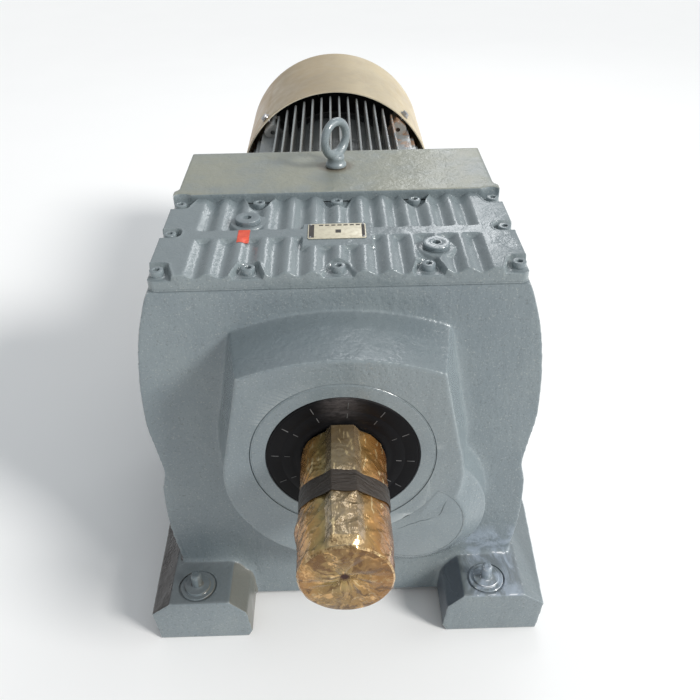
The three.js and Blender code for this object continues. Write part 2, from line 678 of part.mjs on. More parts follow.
add('output_bearing_cover', revolve([
  [SEAL.r + GAP, BOSS_FACE],
  [COVER_RING.r, BOSS_FACE],
  [COVER_RING.r, BOSS_FACE + COVER_RING.depth - GAP],
  [72, BOSS_FACE + COVER_RING.depth - GAP],
  [72, BOSS_FACE + SEAL.depth + GAP],
  [SEAL.r + GAP, BOSS_FACE + SEAL.depth + GAP],
], 0, AXIS_Z, FINE), enamel);
add('output_seal', tube(SEAL.inner, SEAL.r, BOSS_FACE - 1, BOSS_FACE + SEAL.depth, 0, AXIS_Z, FINE), blackRubber);
add('output_bearing_front', bearing(OUT_FRONT), bearingSteel);
add('output_bearing_rear', bearing(OUT_REAR), bearingSteel);
add('intermediate_bearing_cap', capBody(SECOND_BOSS.capR, CAP_BITE_R, BOSS_FACE, BOSS_FACE + CAP_DEPTH), enamel);

// ---------- intermediate shaft ----------
const LAY_GEAR_SEAT_R = 34;

function intermediateShaft() {
  const body = revolve([
    [0, LAY_FRONT.from + 2],
    [25, LAY_FRONT.from + 2],
    [25, 298],
    [LAY_GEAR_SEAT_R - 6, 300],
    [LAY_GEAR_SEAT_R - 6, 450],
    [LAY_GEAR_SEAT_R, 452],
    [LAY_GEAR_SEAT_R, 640],
    [25, 642],
    [25, LAY_REAR.to - 2],
    [0, LAY_REAR.to - 2],
  ], LAY_X, LAY_Z, 20);
  return join(body, finalPair.pinion);
}

add('intermediate_shaft', intermediateShaft(), gearSteel);
const layBore = cylinderY(LAY_GEAR_SEAT_R + GAP, 550, 650, LAY_X, LAY_Z, 20);
add('intermediate_gear', cut(firstPair.gear, layBore), gearSteel);
add('intermediate_bearing_front', bearing(LAY_FRONT, LAY_X, LAY_Z), bearingSteel);
add('intermediate_bearing_rear', bearing(LAY_REAR, LAY_X, LAY_Z), bearingSteel);

// ---------- motor flange and rotor ----------
const FLANGE = { r: 225, face: REAR_WALL + GAP, spigotR: 70 };
const MOTOR_BEARING = { r: MOTOR_BEARING_R, inner: MOTOR_SHAFT_R + 1, front: 752, rear: 1104, width: 27 };
const PINION_SEAT_R = 20;
const INPUT_SEAL = { r: 42, inner: 27.5, from: 738, to: 748 };

function motorFlange() {
  const { r, face, spigotR } = FLANGE;
  const bearingR = MOTOR_BEARING.r + GAP;
  return revolve([
    [INPUT_SEAL.r + GAP, face - 18],
    [spigotR, face - 18],
    [spigotR, face],
    [r, face],
    [r, face + 22],
    [MOTOR.bodyR + 14, MOTOR.front - GAP],
    [MOTOR.boreR - 12, MOTOR.front - GAP],
    [bearingR + 14, face + 26],
    [bearingR, MOTOR.front + 2],
    [bearingR, MOTOR_BEARING.front - GAP],
    [INPUT_SEAL.r + GAP, MOTOR_BEARING.front - GAP],
  ], 0, AXIS_Z, ROUND);
}

function motorShaft() {
  return revolve([
    [0, FIRST_STAGE.from - 6],
    [PINION_SEAT_R, FIRST_STAGE.from - 6],
    [PINION_SEAT_R, FIRST_STAGE.to + 4],
    [26, FIRST_STAGE.to + 6],
    [26, MOTOR_BEARING.front - 2],
    [MOTOR_SHAFT_R, MOTOR_BEARING.front],
    [MOTOR_SHAFT_R, 1140],
    [22, 1142],
    [22, 1318],
    [0, 1318],
  ], 0, AXIS_Z, 20);
}

const CORE = { from: 835, to: 1075, statorInner: 88, rotorR: 85.5 };

add('motor_flange', motorFlange(), enamel);
add('input_seal', tube(INPUT_SEAL.inner, INPUT_SEAL.r, INPUT_SEAL.from, INPUT_SEAL.to, 0, AXIS_Z, 20), blackRubber);
add('motor_shaft', motorShaft(), steel);
add('motor_pinion', cut(firstPair.pinion, cylinderY(PINION_SEAT_R + GAP, 540, 640, 0, AXIS_Z, 20)), gearSteel);
add('rotor_core', tube(MOTOR_SHAFT_R + GAP, CORE.rotorR, CORE.from, CORE.to, 0, AXIS_Z, 20), darkIron);
add('stator_core', tube(CORE.statorInner, MOTOR.boreR - GAP, CORE.from, CORE.to, 0, AXIS_Z, FINE), darkIron);
for (const end of ['front', 'rear']) {
  const from = MOTOR_BEARING[end];
  const place = { r: MOTOR_BEARING.r, inner: MOTOR_BEARING.inner, from, to: from + MOTOR_BEARING.width };
  add(`motor_bearing_${end}`, bearing(place), bearingSteel);
}

// ---------- motor frame ----------
const LUG = { half: 17, tipR: 214, tongueR: 196 };

// One quarter of the frame's outline: parallel fins on its top, between two 45 degree lugs.
function frameQuarter() {
  const points = [];
  for (let i = 0; i < FIN.count; i += 1) {
    const x = -((FIN.count - 1) / 2 - i) * FIN.pitch;
    const edges = [x - FIN.thickness / 2, x + FIN.thickness / 2];
    const rootZ = (edge) => Math.sqrt(MOTOR.bodyR ** 2 - edge ** 2);
    const tipZ = Math.sqrt(MOTOR.finTipR ** 2 - x ** 2);
    points.push([edges[0], rootZ(edges[0])], [edges[0], tipZ], [edges[1], tipZ], [edges[1], rootZ(edges[1])]);
  }
  return points;
}

function motorFrame() {
  const points = [];
  for (let quarter = 0; quarter < 4; quarter += 1) {
    const turn = (quarter * Math.PI) / 2;
    for (const [x, z] of frameQuarter()) {
      points.push([
        x * Math.cos(turn) + z * Math.sin(turn),
        AXIS_Z - x * Math.sin(turn) + z * Math.cos(turn),
      ]);
    }
  }
  const finned = prismY(outline(points), MOTOR.front, MOTOR.rear);
  const lugs = COWL_SCREW_ANGLES.flatMap((degrees) => [
    radialBlock(150, LUG.tipR, MOTOR.rear - 60, MOTOR.rear, 2 * LUG.half, degrees),
    radialBlock(LUG.tongueR, LUG.tipR, MOTOR.rear - 10, COWL.screwY + 20, 2 * LUG.half, degrees),
  ]);
  const pad = box(150, TERMINAL.x0 - GAP, TERMINAL.y0 + 15, TERMINAL.y1 - 15, TERMINAL.z0 + 15, TERMINAL.z1 - 15);
  const bore = cylinderY(MOTOR.boreR, MOTOR.front - 5, MOTOR.rear + 5, 0, AXIS_Z, FINE);
  return cut(join(finned, ...lugs, pad), bore, ...cowlScrewHoles());
}

// A block that points out from the motor's axis at an angle.
function radialBlock(from, to, y0, y1, width, degrees) {
  const geometry = new THREE.BoxGeometry(to - from, y1 - y0, width);
  geometry.translate((from + to) / 2, (y0 + y1) / 2, 0);
  geometry.rotateY(THREE.MathUtils.degToRad(degrees));
  geometry.translate(0, 0, AXIS_Z);
  return solid(geometry);
}

// A cylinder that points out from the motor's axis at an angle, for the cowl's screws.
function radialCylinder(r, from, to, y, degrees, segments) {
  const geometry = new THREE.CylinderGeometry(r, r, to - from, segments);
  geometry.rotateZ(-Math.PI / 2);
  geometry.translate((from + to) / 2, y, 0);
  geometry.rotateY(THREE.MathUtils.degToRad(degrees));
  geometry.translate(0, 0, AXIS_Z);
  return solid(geometry);
}

const COWL_SCREW_ANGLES = [-45, -135, 45, 135];
const SCREW = { shankR: 4, headR: 8.5, headHeight: 6, from: 200 };

function cowlScrewHoles() {
  return COWL_SCREW_ANGLES.map((angle) =>
    radialCylinder(SCREW.shankR + GAP, SCREW.from - 2, 230, COWL.screwY, angle, SMALL));
}

function cowlScrew(angle) {
  const seat = COWL.r + GAP;
  return join(
    radialCylinder(SCREW.shankR, SCREW.from, seat + 1, COWL.screwY, angle, SMALL),
    radialCylinder(SCREW.headR, seat, seat + SCREW.headHeight, COWL.screwY, angle, 6),
  );
}

const TERMINAL = { x0: 209, x1: 272, y0: 850, y1: 1010, z0: 290, z1: 425, lid: 14 };

add('motor_frame', motorFrame(), enamel);
add('motor_rear_shield', revolve([
  [MOTOR_BEARING.inner + 2, MOTOR.rear + 8],
  [MOTOR_BEARING.r + GAP, MOTOR.rear + 8],
  [MOTOR_BEARING.r + GAP, MOTOR_BEARING.rear - 2],
  [MOTOR_BEARING.r + 14, MOTOR_BEARING.rear - 2],
  [MOTOR_BEARING.r + 18, MOTOR.rear + GAP],
  [MOTOR.bodyR + 10, MOTOR.rear + GAP],
  [MOTOR.bodyR + 10, MOTOR.rear + 16],
  [MOTOR_BEARING.inner + 2, MOTOR.rear + 22],
], 0, AXIS_Z, ROUND), darkIron);

// ---------- fan and cowl ----------
const FAN = { from: 1240, to: 1296, hubR: 42, r: 188, blades: 7 };

function fan() {
  const hub = revolve([
    [22 + GAP, FAN.from],
    [FAN.hubR, FAN.from],
    [FAN.hubR, FAN.from + 12],
    [FAN.r - 30, FAN.from + 12],
    [FAN.r - 30, FAN.from + 17],
    [FAN.hubR, FAN.from + 17],
    [FAN.hubR, FAN.to],
    [22 + GAP, FAN.to],
  ], 0, AXIS_Z, 20);
  const blades = Array.from({ length: FAN.blades }, (_, i) =>
    radialBlock(FAN.hubR - 4, FAN.r, FAN.from + 2, FAN.to - 2, 5, (360 * i) / FAN.blades));
  return join(hub, ...blades);
}

// A sheet cup with air slots in its end wall and screw holes near its mouth.
const SLOTS = { count: 10, from: 60, to: 170, width: 16 };

function fanCowl() {
  const inner = COWL.r - COWL.wall;
  const cup = revolve([
    [0, COWL.rear],
    [inner - 26, COWL.rear],
    [inner - 8, COWL.rear - 8],
    [COWL.r, COWL.rear - 30],
    [COWL.r, COWL.front],
    [inner, COWL.front],
    [inner, COWL.rear - 31],
    [inner - 10, COWL.rear - 10 - COWL.wall],
    [inner - 27, COWL.rear - COWL.wall],
    [0, COWL.rear - COWL.wall],
  ], 0, AXIS_Z, FINE);
  const slots = Array.from({ length: SLOTS.count }, (_, i) =>
    radialBlock(SLOTS.from, SLOTS.to, COWL.rear - 10, COWL.rear + 5, SLOTS.width, (360 * i) / SLOTS.count));
  return cut(cup, ...slots, ...cowlScrewHoles());
}

add('fan', fan(), plasticBlack);
add('fan_cowl', fanCowl(), tanSheet);
COWL_SCREW_ANGLES.forEach((angle, i) => add(`cowl_screw_${i + 1}`, cowlScrew(angle), steel));

// ---------- terminal box ----------
function terminalBox() {
  const { x0, x1, y0, y1, z0, z1 } = TERMINAL;
  const middleY = (y0 + y1) / 2;
  const shell = cut(box(x0, x1, y0, y1, z0, z1), box(x0 + 8, x1 + 5, y0 + 7, y1 - 7, z0 + 7, z1 - 7));
  return cut(shell, cylinderZ(13, z0 - 5, z0 + 10, (x0 + x1) / 2, middleY, COARSE));
}

function terminalLid() {
  const { x1, y0, y1, z0, z1, lid } = TERMINAL;
  const from = x1 + GAP;
  return join(box(from, from + 6, y0 - 3, y1 + 3, z0 - 3, z1 + 3), box(from + 5, from + lid, y0 + 8, y1 - 8, z0 + 8, z1 - 8));
}

function cableGland() {
  const [x, y] = [(TERMINAL.x0 + TERMINAL.x1) / 2, (TERMINAL.y0 + TERMINAL.y1) / 2];
  const seat = TERMINAL.z0 - GAP;
  const body = join(
    cylinderZ(12.5, seat - 1, seat + 12, x, y, COARSE),
    cylinderZ(19, seat - 12, seat, x, y, 6),
    cylinderZ(16, seat - 28, seat - 11, x, y, COARSE),
  );
  return cut(body, cylinderZ(8, seat - 40, seat + 20, x, y, SMALL));
}

add('terminal_box', terminalBox(), enamel);
add('terminal_box_lid', terminalLid(), enamel);
add('cable_gland', cableGland(), plasticBlack);

export default assembly;
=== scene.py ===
"""Foot-mounted inline gearmotor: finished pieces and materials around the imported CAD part.

Shapes are written in millimetres. Lengths along the shaft are counted from the wrapped tip of
the output shaft, and a finished piece is moved into the row frame, in metres.
"""

import json
import math

import bmesh
import bpy
import numpy as np
from mathutils import Matrix, Vector


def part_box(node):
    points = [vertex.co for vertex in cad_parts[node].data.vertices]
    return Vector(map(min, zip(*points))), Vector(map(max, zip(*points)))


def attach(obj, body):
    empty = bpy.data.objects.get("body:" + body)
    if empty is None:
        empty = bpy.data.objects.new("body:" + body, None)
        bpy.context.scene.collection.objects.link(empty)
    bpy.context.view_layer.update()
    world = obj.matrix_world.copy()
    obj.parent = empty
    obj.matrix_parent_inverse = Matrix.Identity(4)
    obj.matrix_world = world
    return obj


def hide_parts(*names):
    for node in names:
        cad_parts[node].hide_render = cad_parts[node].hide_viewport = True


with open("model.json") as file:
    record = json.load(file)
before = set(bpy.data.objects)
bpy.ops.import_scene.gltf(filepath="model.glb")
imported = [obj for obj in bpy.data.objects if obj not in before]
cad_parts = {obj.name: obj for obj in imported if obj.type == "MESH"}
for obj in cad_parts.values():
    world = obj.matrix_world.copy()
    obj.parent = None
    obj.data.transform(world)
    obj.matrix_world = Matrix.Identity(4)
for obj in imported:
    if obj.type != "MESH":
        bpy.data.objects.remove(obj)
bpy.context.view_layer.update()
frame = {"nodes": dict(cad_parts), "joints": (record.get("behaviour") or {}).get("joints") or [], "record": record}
JOINTS = {joint["name"]: joint for joint in frame["joints"]}

# ---------- places taken from the frame ----------
MM = 0.001
TIP_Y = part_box("shaft_film")[0].y
TO_ROW = Matrix.Translation((0, TIP_Y, 0)) @ Matrix.Scale(MM, 4)
AXIS_Z = JOINTS["output_spin"]["pos_m"][2] / MM
LAY_X = JOINTS["intermediate_spin"]["pos_m"][0] / MM
LAY_Z = JOINTS["intermediate_spin"]["pos_m"][2] / MM
GAP = 0.3


def place(node):
    """Lowest and highest corner of a CAD node, in the millimetres used here."""
    low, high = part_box(node)
    shift = Vector((0, TIP_Y, 0))
    return (low - shift) / MM, (high - shift) / MM


def middle(node):
    low, high = place(node)
    return (low + high) / 2


# ---------- dimensions ----------
FOOT_FRONT, FOOT_REAR, FOOT_TOP = 174, 752, 85
FOOT_HOLE_X, FOOT_HOLE_R = 230, 19.5
FOOT_HOLE_Y = (207, 719)
SPOT_R, SPOT_DEPTH = 30, 2
SEATS = {-1: "foot_washer_left", 1: "foot_washer_right"}
BOSS_FACE = 203
WALL_LEAN, WALL_FOOT_Y = 0.128, 246
WALL, FRONT_WALL, REAR_WALL_THICKNESS = 16, 30, 20
REAR_WALL = 738
BODY_BOTTOM, JOINT_FACE = 12, 558
TOP_FRONT, TOP_Z, RECESS_R = 560, 591, 22
POCKET_X, POCKET_Y, POCKET_TOP = 192, 682, 168
BODY_SIDE = [
    (250, 12), (266, 100), (276, 160), (278, 225), (272, 262), (279, 305),
    (287, 350), (287, 415), (279, 485), (265, 538), (257, 558),
]
FOOT_SIDE = [(158, 0), (299, 0), (305, 61), (274, 85), (182, 85), (157, 58), (151.5, 13)]
FOOT_STRAIGHT, FOOT_FLARE = 380, {-1: (0, 4), 1: (3.5, 16)}
RING_R, RING_DEPTH, SEAL_R, SEAL_INNER, SEAL_DEPTH = 128.5, 22, 106, 56.5, 18
CAP_R, CAP_DEPTH, CAP_BITE_R = 73, 6, 150
COVER_HALF, COVER_FRONT, COVER_REAR, COVER_TOP, POCKET_FLOOR = 257, 319, 561, 583, 573
BOLT_X = (-244, -121.5, 0, 121.5, 244)
BOLT_FRONT, BOLT_MIDDLE, BOLT_REAR = 335, 442, 543
MOTOR_FRONT, MOTOR_REAR, MOTOR_R, BORE_R, FIN_TIP_R = 783, 1128, 165, 140, 208
COWL_FRONT, COWL_REAR, COWL_R, COWL_WALL, SCREW_Y = 1133, 1459, 221.5, 2.5, 1158
SCREW_ANGLES = (45, 135, -45, -135)
SHANK_R, BEARING_POCKET_R = 200, 62.3
WEB_FRONT, WEB_REAR = 455, 500
LEVEL_PLUG, DRAIN_PLUG = (-284, 520, 225), (-150, 100)
PLUG_HOLE_R, COVER_HOLE_R = 10.3, 6.3
OUT_BEARING_R, OUT_REAR_BEARING_R, LAY_BEARING_R = 100, 75, 52
FILM_CLEARANCE, TAPE_CLEARANCE = 1.9, 2.6
SIDES = (-1, 1)
SLOWEST_FILL = 0.004
FLOOR_HALF = 25


# ---------- meshes ----------
def settle(obj):
    """Applies the modifiers."""
    depsgraph = bpy.context.evaluated_depsgraph_get()
    mesh = bpy.data.meshes.new_from_object(obj.evaluated_get(depsgraph))
    obj.modifiers.clear()
    old = obj.data
    obj.data = mesh
    bpy.data.meshes.remove(old)
    return obj


def modified(obj, kind, **settings):
    """Adds one modifier and applies it."""
    modifier = obj.modifiers.new(kind.lower(), kind)
    for key, value in settings.items():
        setattr(modifier, key, value)
    return settle(obj)


def linked(name, data):
    obj = bpy.data.objects.new(name, data)
    bpy.context.scene.collection.objects.link(obj)
    return obj


def mesh_object(name, vertices, faces):
    mesh = bpy.data.meshes.new(name)
    mesh.from_pydata([tuple(v) for v in vertices], [], [tuple(f) for f in faces])
    mesh.update()
    return linked(name, mesh)


def outward(obj):
    """Turns a closed mesh's faces outwards."""
    work = bmesh.new()
    work.from_mesh(obj.data)
    bmesh.ops.recalc_face_normals(work, faces=work.faces)
    work.to_mesh(obj.data)
    work.free()
    return obj


def grid_faces(rows, columns, closed=False):
    """Faces over rows of points, joined round at the ends of the rows if closed."""
    index = np.arange(rows * columns).reshape(rows, columns)
    near, far = (index, np.roll(index, -1, axis=1)) if closed else (index[:, :-1], index[:, 1:])
    return np.stack([near[:-1], far[:-1], far[1:], near[1:]], -1).reshape(-1, 4).tolist()


def loft(name, rings):
    """Walls between rings of points, closed by a face at each end."""
    count = len(rings[0])
    vertices = [point for ring in rings for point in ring]
    faces = [range(count), range(len(vertices) - count, len(vertices))]
    for k in range(len(rings) - 1):
        for i in range(count):
            j = (i + 1) % count
            low, high = k * count, (k + 1) * count
            faces.append((low + i, low + j, high + j, high + i))
    return outward(mesh_object(name, vertices, faces))


def prism_x(name, outline, x0, x1):
    return loft(name, [[(x, y, z) for y, z in outline] for x in (x0, x1)])


def prism_y(name, outline, y0, y1):
    return loft(name, [[(x, y, z) for x, z in outline] for y in (y0, y1)])


def prism_z(name, outline, z0, z1):
    return loft(name, [[(x, y, z) for x, y in outline] for z in (z0, z1)])


def box(name, x0, x1, y0, y1, z0, z1):
    return prism_y(name, [(x0, z0), (x1, z0), (x1, z1), (x0, z1)], y0, y1)


def circle(r, x=0.0, y=0.0, segments=64, start=0.0):
    turns = [start + 2 * math.pi * i / segments for i in range(segments)]
    return [(x + r * math.cos(a), y + r * math.sin(a)) for a in turns]


def rounded(x0, x1, y0, y1, r, steps=6):
    """A rectangle with rounded corners."""
    points = []
    corners = [(x1 - r, y1 - r, 0), (x0 + r, y1 - r, 1), (x0 + r, y0 + r, 2), (x1 - r, y0 + r, 3)]
    for cx, cy, quarter in corners:
        for i in range(steps + 1):
            angle = (quarter + i / steps) * math.pi / 2
            points.append((cx + r * math.cos(angle), cy + r * math.sin(angle)))
    return points


def lathe(name, profile, x=0.0, z=AXIS_Z, segments=96):
    """A closed profile of (radius, y) turned about a line along Y."""
    vertices, rings = [], []
    for r, y in profile:
        if r == 0:
            rings.append([len(vertices)] * segments)
            vertices.append((x, y, z))
            continue
        rings.append(list(range(len(vertices), len(vertices) + segments)))
        vertices += [(px, y, pz) for px, pz in circle(r, x, z, segments)]
    faces = []
    for ring, after in zip(rings, rings[1:] + rings[:1]):
        for i in range(segments):
            j = (i + 1) % segments
            face = list(dict.fromkeys((ring[i], ring[j], after[j], after[i])))
            if len(face) > 2:
                faces.append(face)
    return outward(mesh_object(name, vertices, faces))


def lathe_z(name, profile, x, y, segments=48):
    """A closed profile of (radius, z) turned about an upright line."""
    obj = lathe(name, [(r, -height) for r, height in profile], 0, 0, segments)
    obj.data.transform(Matrix.Translation((x, y, 0)) @ Matrix.Rotation(-math.pi / 2, 4, "X"))
    return obj


def disc(r, y0, y1, x=0.0, z=AXIS_Z, segments=128):
    """A plain round solid or bore along the shaft."""
    return lathe("tool", [(0, y0), (r, y0), (r, y1), (0, y1)], x, z, segments)


def hole(r, z0, z1, x, y, segments=32):
    return prism_z("tool", circle(r, x, y, segments), z0, z1)


def along_x(obj, at, way=1):
    """Turns a shape made along Y from the origin so that it runs along X, or against it, from a point."""
    obj.data.transform(Matrix.Translation(at) @ Matrix.Rotation(-way * math.pi / 2, 4, "Z"))
    return obj


def radial(obj, degrees):
    """Turns a shape built out along +X so that it points out from the axis at an angle."""
    obj.data.transform(Matrix.Translation((0, 0, AXIS_Z)) @ Matrix.Rotation(-math.radians(degrees), 4, "Y"))
    return obj


def boolean(obj, tools, operation="DIFFERENCE"):
    for tool in tools:
        modifier = obj.modifiers.new("boolean", "BOOLEAN")
        modifier.operation = operation
        modifier.solver = "MANIFOLD"
        modifier.object = tool
    settle(obj)
    for tool in tools:
        bpy.data.objects.remove(tool)
    return obj


def bevel(obj, width, segments=2, angle=32):
    return modified(obj, "BEVEL", width=width, segments=segments, limit_method="ANGLE",
                    angle_limit=math.radians(angle))


def decimate(obj, ratio):
    return modified(obj, "DECIMATE", ratio=ratio)


def thicken(obj, thickness, offset):
    return modified(obj, "SOLIDIFY", thickness=thickness, offset=offset)


def joined(name, objects):
    """Several meshes as one object."""
    work = bmesh.new()
    for obj in objects:
        work.from_mesh(obj.data)
        bpy.data.objects.remove(obj)
    mesh = bpy.data.meshes.new(name)
    work.to_mesh(mesh)
    work.free()
    return linked(name, mesh)


def coordinates(obj):
    co = np.empty(len(obj.data.vertices) * 3, np.float32)
    obj.data.vertices.foreach_get("co", co)
    return co.reshape(-1, 3).astype(float)


def soften(obj, fillet_steps, smooth_steps):
    """Rounds a cast surface: inner corners fill up, then every edge is eased a little."""
    mesh = obj.data
    count = len(mesh.vertices)
    edges = np.empty(len(mesh.edges) * 2, np.int32)
    mesh.edges.foreach_get("vertices", edges)
    a, b = edges.reshape(-1, 2).T
    degree = np.maximum(np.bincount(a, minlength=count) + np.bincount(b, minlength=count), 1)
    normals = np.empty(count * 3, np.float32)
    mesh.vertex_normals.foreach_get("vector", normals)
    normals = normals.reshape(-1, 3)
    co = coordinates(obj)

    def pull(points):
        total = np.empty_like(points)
        for k in range(3):
            column = points[:, k]
            total[:, k] = np.bincount(a, column[b], count) + np.bincount(b, column[a], count)
        return total / degree[:, None] - points

    for _ in range(fillet_steps):
        along = np.einsum("ij,ij->i", pull(co), normals)
        co += normals * np.maximum(along - SLOWEST_FILL, 0)[:, None]
    for _ in range(smooth_steps):
        co += 0.5 * pull(co)
    mesh.vertices.foreach_set("co", co.astype(np.float32).ravel())
    mesh.update()


def cast(obj, voxel, fillet_steps, smooth_steps, keep):
    """Turns crisp solids into one cast skin."""
    modified(obj, "REMESH", mode="VOXEL", voxel_size=voxel)
    soften(obj, fillet_steps, smooth_steps)
    return decimate(obj, keep)


def finish(obj, material, body="root", replaces=(), smooth_angle=32):
    """Moves a piece into the row frame, gives it its material and body, and hides the CAD nodes that it replaces.
    """
    obj.data.transform(TO_ROW)
    obj.data.polygons.foreach_set("use_smooth", [True] * len(obj.data.polygons))
    obj.data.set_sharp_from_angle(angle=math.radians(smooth_angle))
    obj.data.materials.clear()
    obj.data.materials.append(material)
    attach(obj, body)
    if replaces:
        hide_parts(*replaces)
    return obj


def curve(points, steps):
    """A smooth line through the points."""
    p = np.array([points[0], *points, points[-1]], float)
    t = np.linspace(0, 1, steps, endpoint=False)[:, None]
    pieces = []
    for i in range(len(points) - 1):
        p0, p1, p2, p3 = p[i:i + 4]
        pieces.append(0.5 * (2 * p1 + (p2 - p0) * t + (2 * p0 - 5 * p1 + 4 * p2 - p3) * t**2
                             + (3 * p1 - p0 - 3 * p2 + p3) * t**3))
    return [tuple(q) for q in np.vstack([*pieces, [p[-2]]])]


def mirrored(side):
    return list(side) + [(-x, z) for x, z in reversed(side)]


# ---------- camera ----------
def set_camera():
    pitch, yaw, roll = math.radians(35.24), math.radians(0.767), math.radians(1.01)
    level = Vector((math.sin(yaw), math.cos(yaw), 0))
    forward = math.cos(pitch) * level - Vector((0, 0, math.sin(pitch)))
    right = Vector((level.y, -level.x, 0))
    down = forward.cross(right)
    turned_right = math.cos(roll) * right + math.sin(roll) * down
    turned_down = -math.sin(roll) * right + math.cos(roll) * down
    matrix = Matrix((turned_right, -turned_down, -forward)).transposed().to_4x4()
    matrix.translation = Vector((0.0015, -1.2986, 1.0819))
    data = bpy.data.cameras.new("camera")
    data.lens = 39.34
    data.sensor_width = 36
    data.clip_end = 50
    camera = linked("camera", data)
    camera.matrix_world = matrix
    bpy.context.scene.camera = camera


set_camera()


# ---------- materials ----------
EYE_Y = -0.0665
HOLE_X, HOLE_Z = -0.0015, 0.359
FILM_WIDTH = 0.122


class Shader:
    """Short calls for building one principled material."""

    def __init__(self, name):
        self.material = bpy.data.materials.new(name)
        self.material.use_nodes = True
        self.nodes = self.material.node_tree.nodes
        self.links = self.material.node_tree.links
        self.surface = self.nodes["Principled BSDF"]
        self.where = self.nodes.new("ShaderNodeTexCoord").outputs["Object"]

    def put(self, value, socket):
        if isinstance(value, bpy.types.NodeSocket):
            self.links.new(value, socket)
        else:
            socket.default_value = value

    def set(self, **inputs):
        names = {"color": "Base Color", "roughness": "Roughness", "metallic": "Metallic",
                 "coat": "Coat Weight", "coat_roughness": "Coat Roughness", "normal": "Normal",
                 "specular": "Specular IOR Level", "coat_normal": "Coat Normal"}
        for key, value in inputs.items():
            self.put(value, self.surface.inputs[names[key]])

    def node(self, kind, **inputs):
        """A node whose inputs are set to values or linked to sockets: From_Min is its From Min."""
        node = self.nodes.new(f"ShaderNode{kind}")
        for name, value in inputs.items():
            self.put(value, node.inputs[name.replace("_", " ")])
        return node

    def stretched(self, scale):
        return self.node("Mapping", Vector=self.where, Scale=scale).outputs["Vector"]

    def noise(self, scale, detail=3.0, roughness=0.55, distortion=0.0, vector=None):
        return self.node("TexNoise", Vector=vector or self.where, Scale=scale, Detail=detail,
                         Roughness=roughness, Distortion=distortion).outputs["Fac"]

    def part(self, vector, axis):
        return self.node("SeparateXYZ", Vector=vector).outputs[axis]

    def facing(self, axis):
        return self.part(self.node("NewGeometry").outputs["Normal"], axis)

    def math(self, operation, a, b=0.0):
        node = self.node("Math")
        node.operation = operation
        self.put(a, node.inputs[0])
        self.put(b, node.inputs[1])
        return node.outputs[0]

    def plus(self, a, b):
        return self.math("ADD", a, b)

    def times(self, first, *others):
        for other in others:
            first = self.math("MULTIPLY", first, other)
        return first

    def length(self, a, b):
        return self.math("SQRT", self.plus(self.math("POWER", a, 2.0), self.math("POWER", b, 2.0)))

    def ramp(self, value, low, high, to_low=0.0, to_high=1.0):
        node = self.node("MapRange", Value=value, From_Min=low, From_Max=high, To_Min=to_low, To_Max=to_high)
        node.interpolation_type = "SMOOTHSTEP"
        return node.outputs["Result"]

    def colors(self, value, stops):
        node = self.node("ValToRGB", Fac=value)
        elements = node.color_ramp.elements
        while len(elements) < len(stops):
            elements.new(0.5)
        for element, (position, color) in zip(elements, stops):
            element.position = position
            element.color = (*color, 1)
        return node.outputs["Color"]

    def mix(self, factor, a, b):
        node = self.nodes.new("ShaderNodeMix")
        node.data_type = "RGBA"
        self.put(factor, node.inputs["Factor"])
        for value, socket in ((a, node.inputs["A"]), (b, node.inputs["B"])):
            self.put((*value, 1) if isinstance(value, tuple) else value, socket)
        return node.outputs["Result"]

    def bump(self, height, distance, strength=1.0, after=None):
        node = self.node("Bump", Height=height, Distance=distance, Strength=strength)
        if after:
            self.links.new(after, node.inputs["Normal"])
        return node.outputs["Normal"]


def painted_foot_shade(s, color, x, height, upward):
    """Painted shade: darker tops and bevels on the feet, darkest on the left one; and a darker olive-brown on the
    left foot's inner side.
    """
    foot, left = s.ramp(height, 0.13, 0.09), s.ramp(x, 0.0, -0.1)
    # Painted shade on the tops of the feet.
    color = s.mix(s.times(foot, upward, 0.4), color, (0.1, 0.108, 0.108))
    # Colours of the painted shadow on the outer bevels: blue-grey on the right foot, dark brown on the left.
    painted_bevel_shadow = s.mix(left, (0.1, 0.12, 0.145), (0.03, 0.022, 0.02))
    patchy = s.ramp(s.noise(11, 3, 0.5), 0.3, 0.6, 0.75, 1.0)
    not_front = s.ramp(s.facing("Y"), -0.6, -0.3)
    outer = s.times(s.ramp(s.facing("X"), -0.3, -0.55), foot, patchy, not_front)
    color = s.mix(outer, color, painted_bevel_shadow)
    inner = s.times(s.ramp(s.facing("X"), 0.3, 0.55), foot, left, 0.8)
    return s.mix(inner, color, (0.125, 0.118, 0.092))


def painted_foot_reflection(s, color, x, height):
    """Painted reflection: a pale bluish patch over the right foot and the wall above it, with painted highlight
    lines on its edges.
    """
    above_top = s.ramp(height, FOOT_TOP * MM - 0.004, FOOT_TOP * MM - 0.002)
    reflection_patch = s.times(s.ramp(height, 0.15, 0.12), above_top, s.ramp(x, 0.185, 0.2), s.ramp(x, 0.28, 0.265))
    streaky = s.noise(26, 4, 0.65, 1.5, s.stretched((1.0, 0.6, 1.0)))
    # Painted reflection: pale blue-grey streaks.
    color = s.mix(s.times(reflection_patch, s.ramp(streaky, 0.4, 0.62, 0.1, 0.75)), color, (0.36, 0.42, 0.5))
    highlight_lines = s.ramp(s.noise(90, 3, 0.6, 1.0, s.stretched((0.5, 1.0, 1.0))), 0.56, 0.62, 0, 0.9)
    edge = s.times(s.ramp(s.facing("Z"), 0.25, 0.5), s.ramp(s.facing("Z"), 0.97, 0.85))
    # Painted highlight lines along the edges.
    return s.mix(s.times(reflection_patch, highlight_lines, edge), color, (0.85, 0.87, 0.9))


def stain_round_eye(s, color, x, height):
    """The dark ring on the top box round the eyebolt."""
    reach = s.plus(s.length(x, s.plus(s.part(s.where, "Y"), -EYE_Y)), s.times(s.noise(40, 3), 0.02))
    on_box = s.times(s.ramp(height, 0.584, 0.589), s.ramp(height, 0.5945, 0.5925), 0.6)
    return s.mix(s.times(s.ramp(reach, 0.046, 0.03), on_box), color, (0.11, 0.08, 0.05))


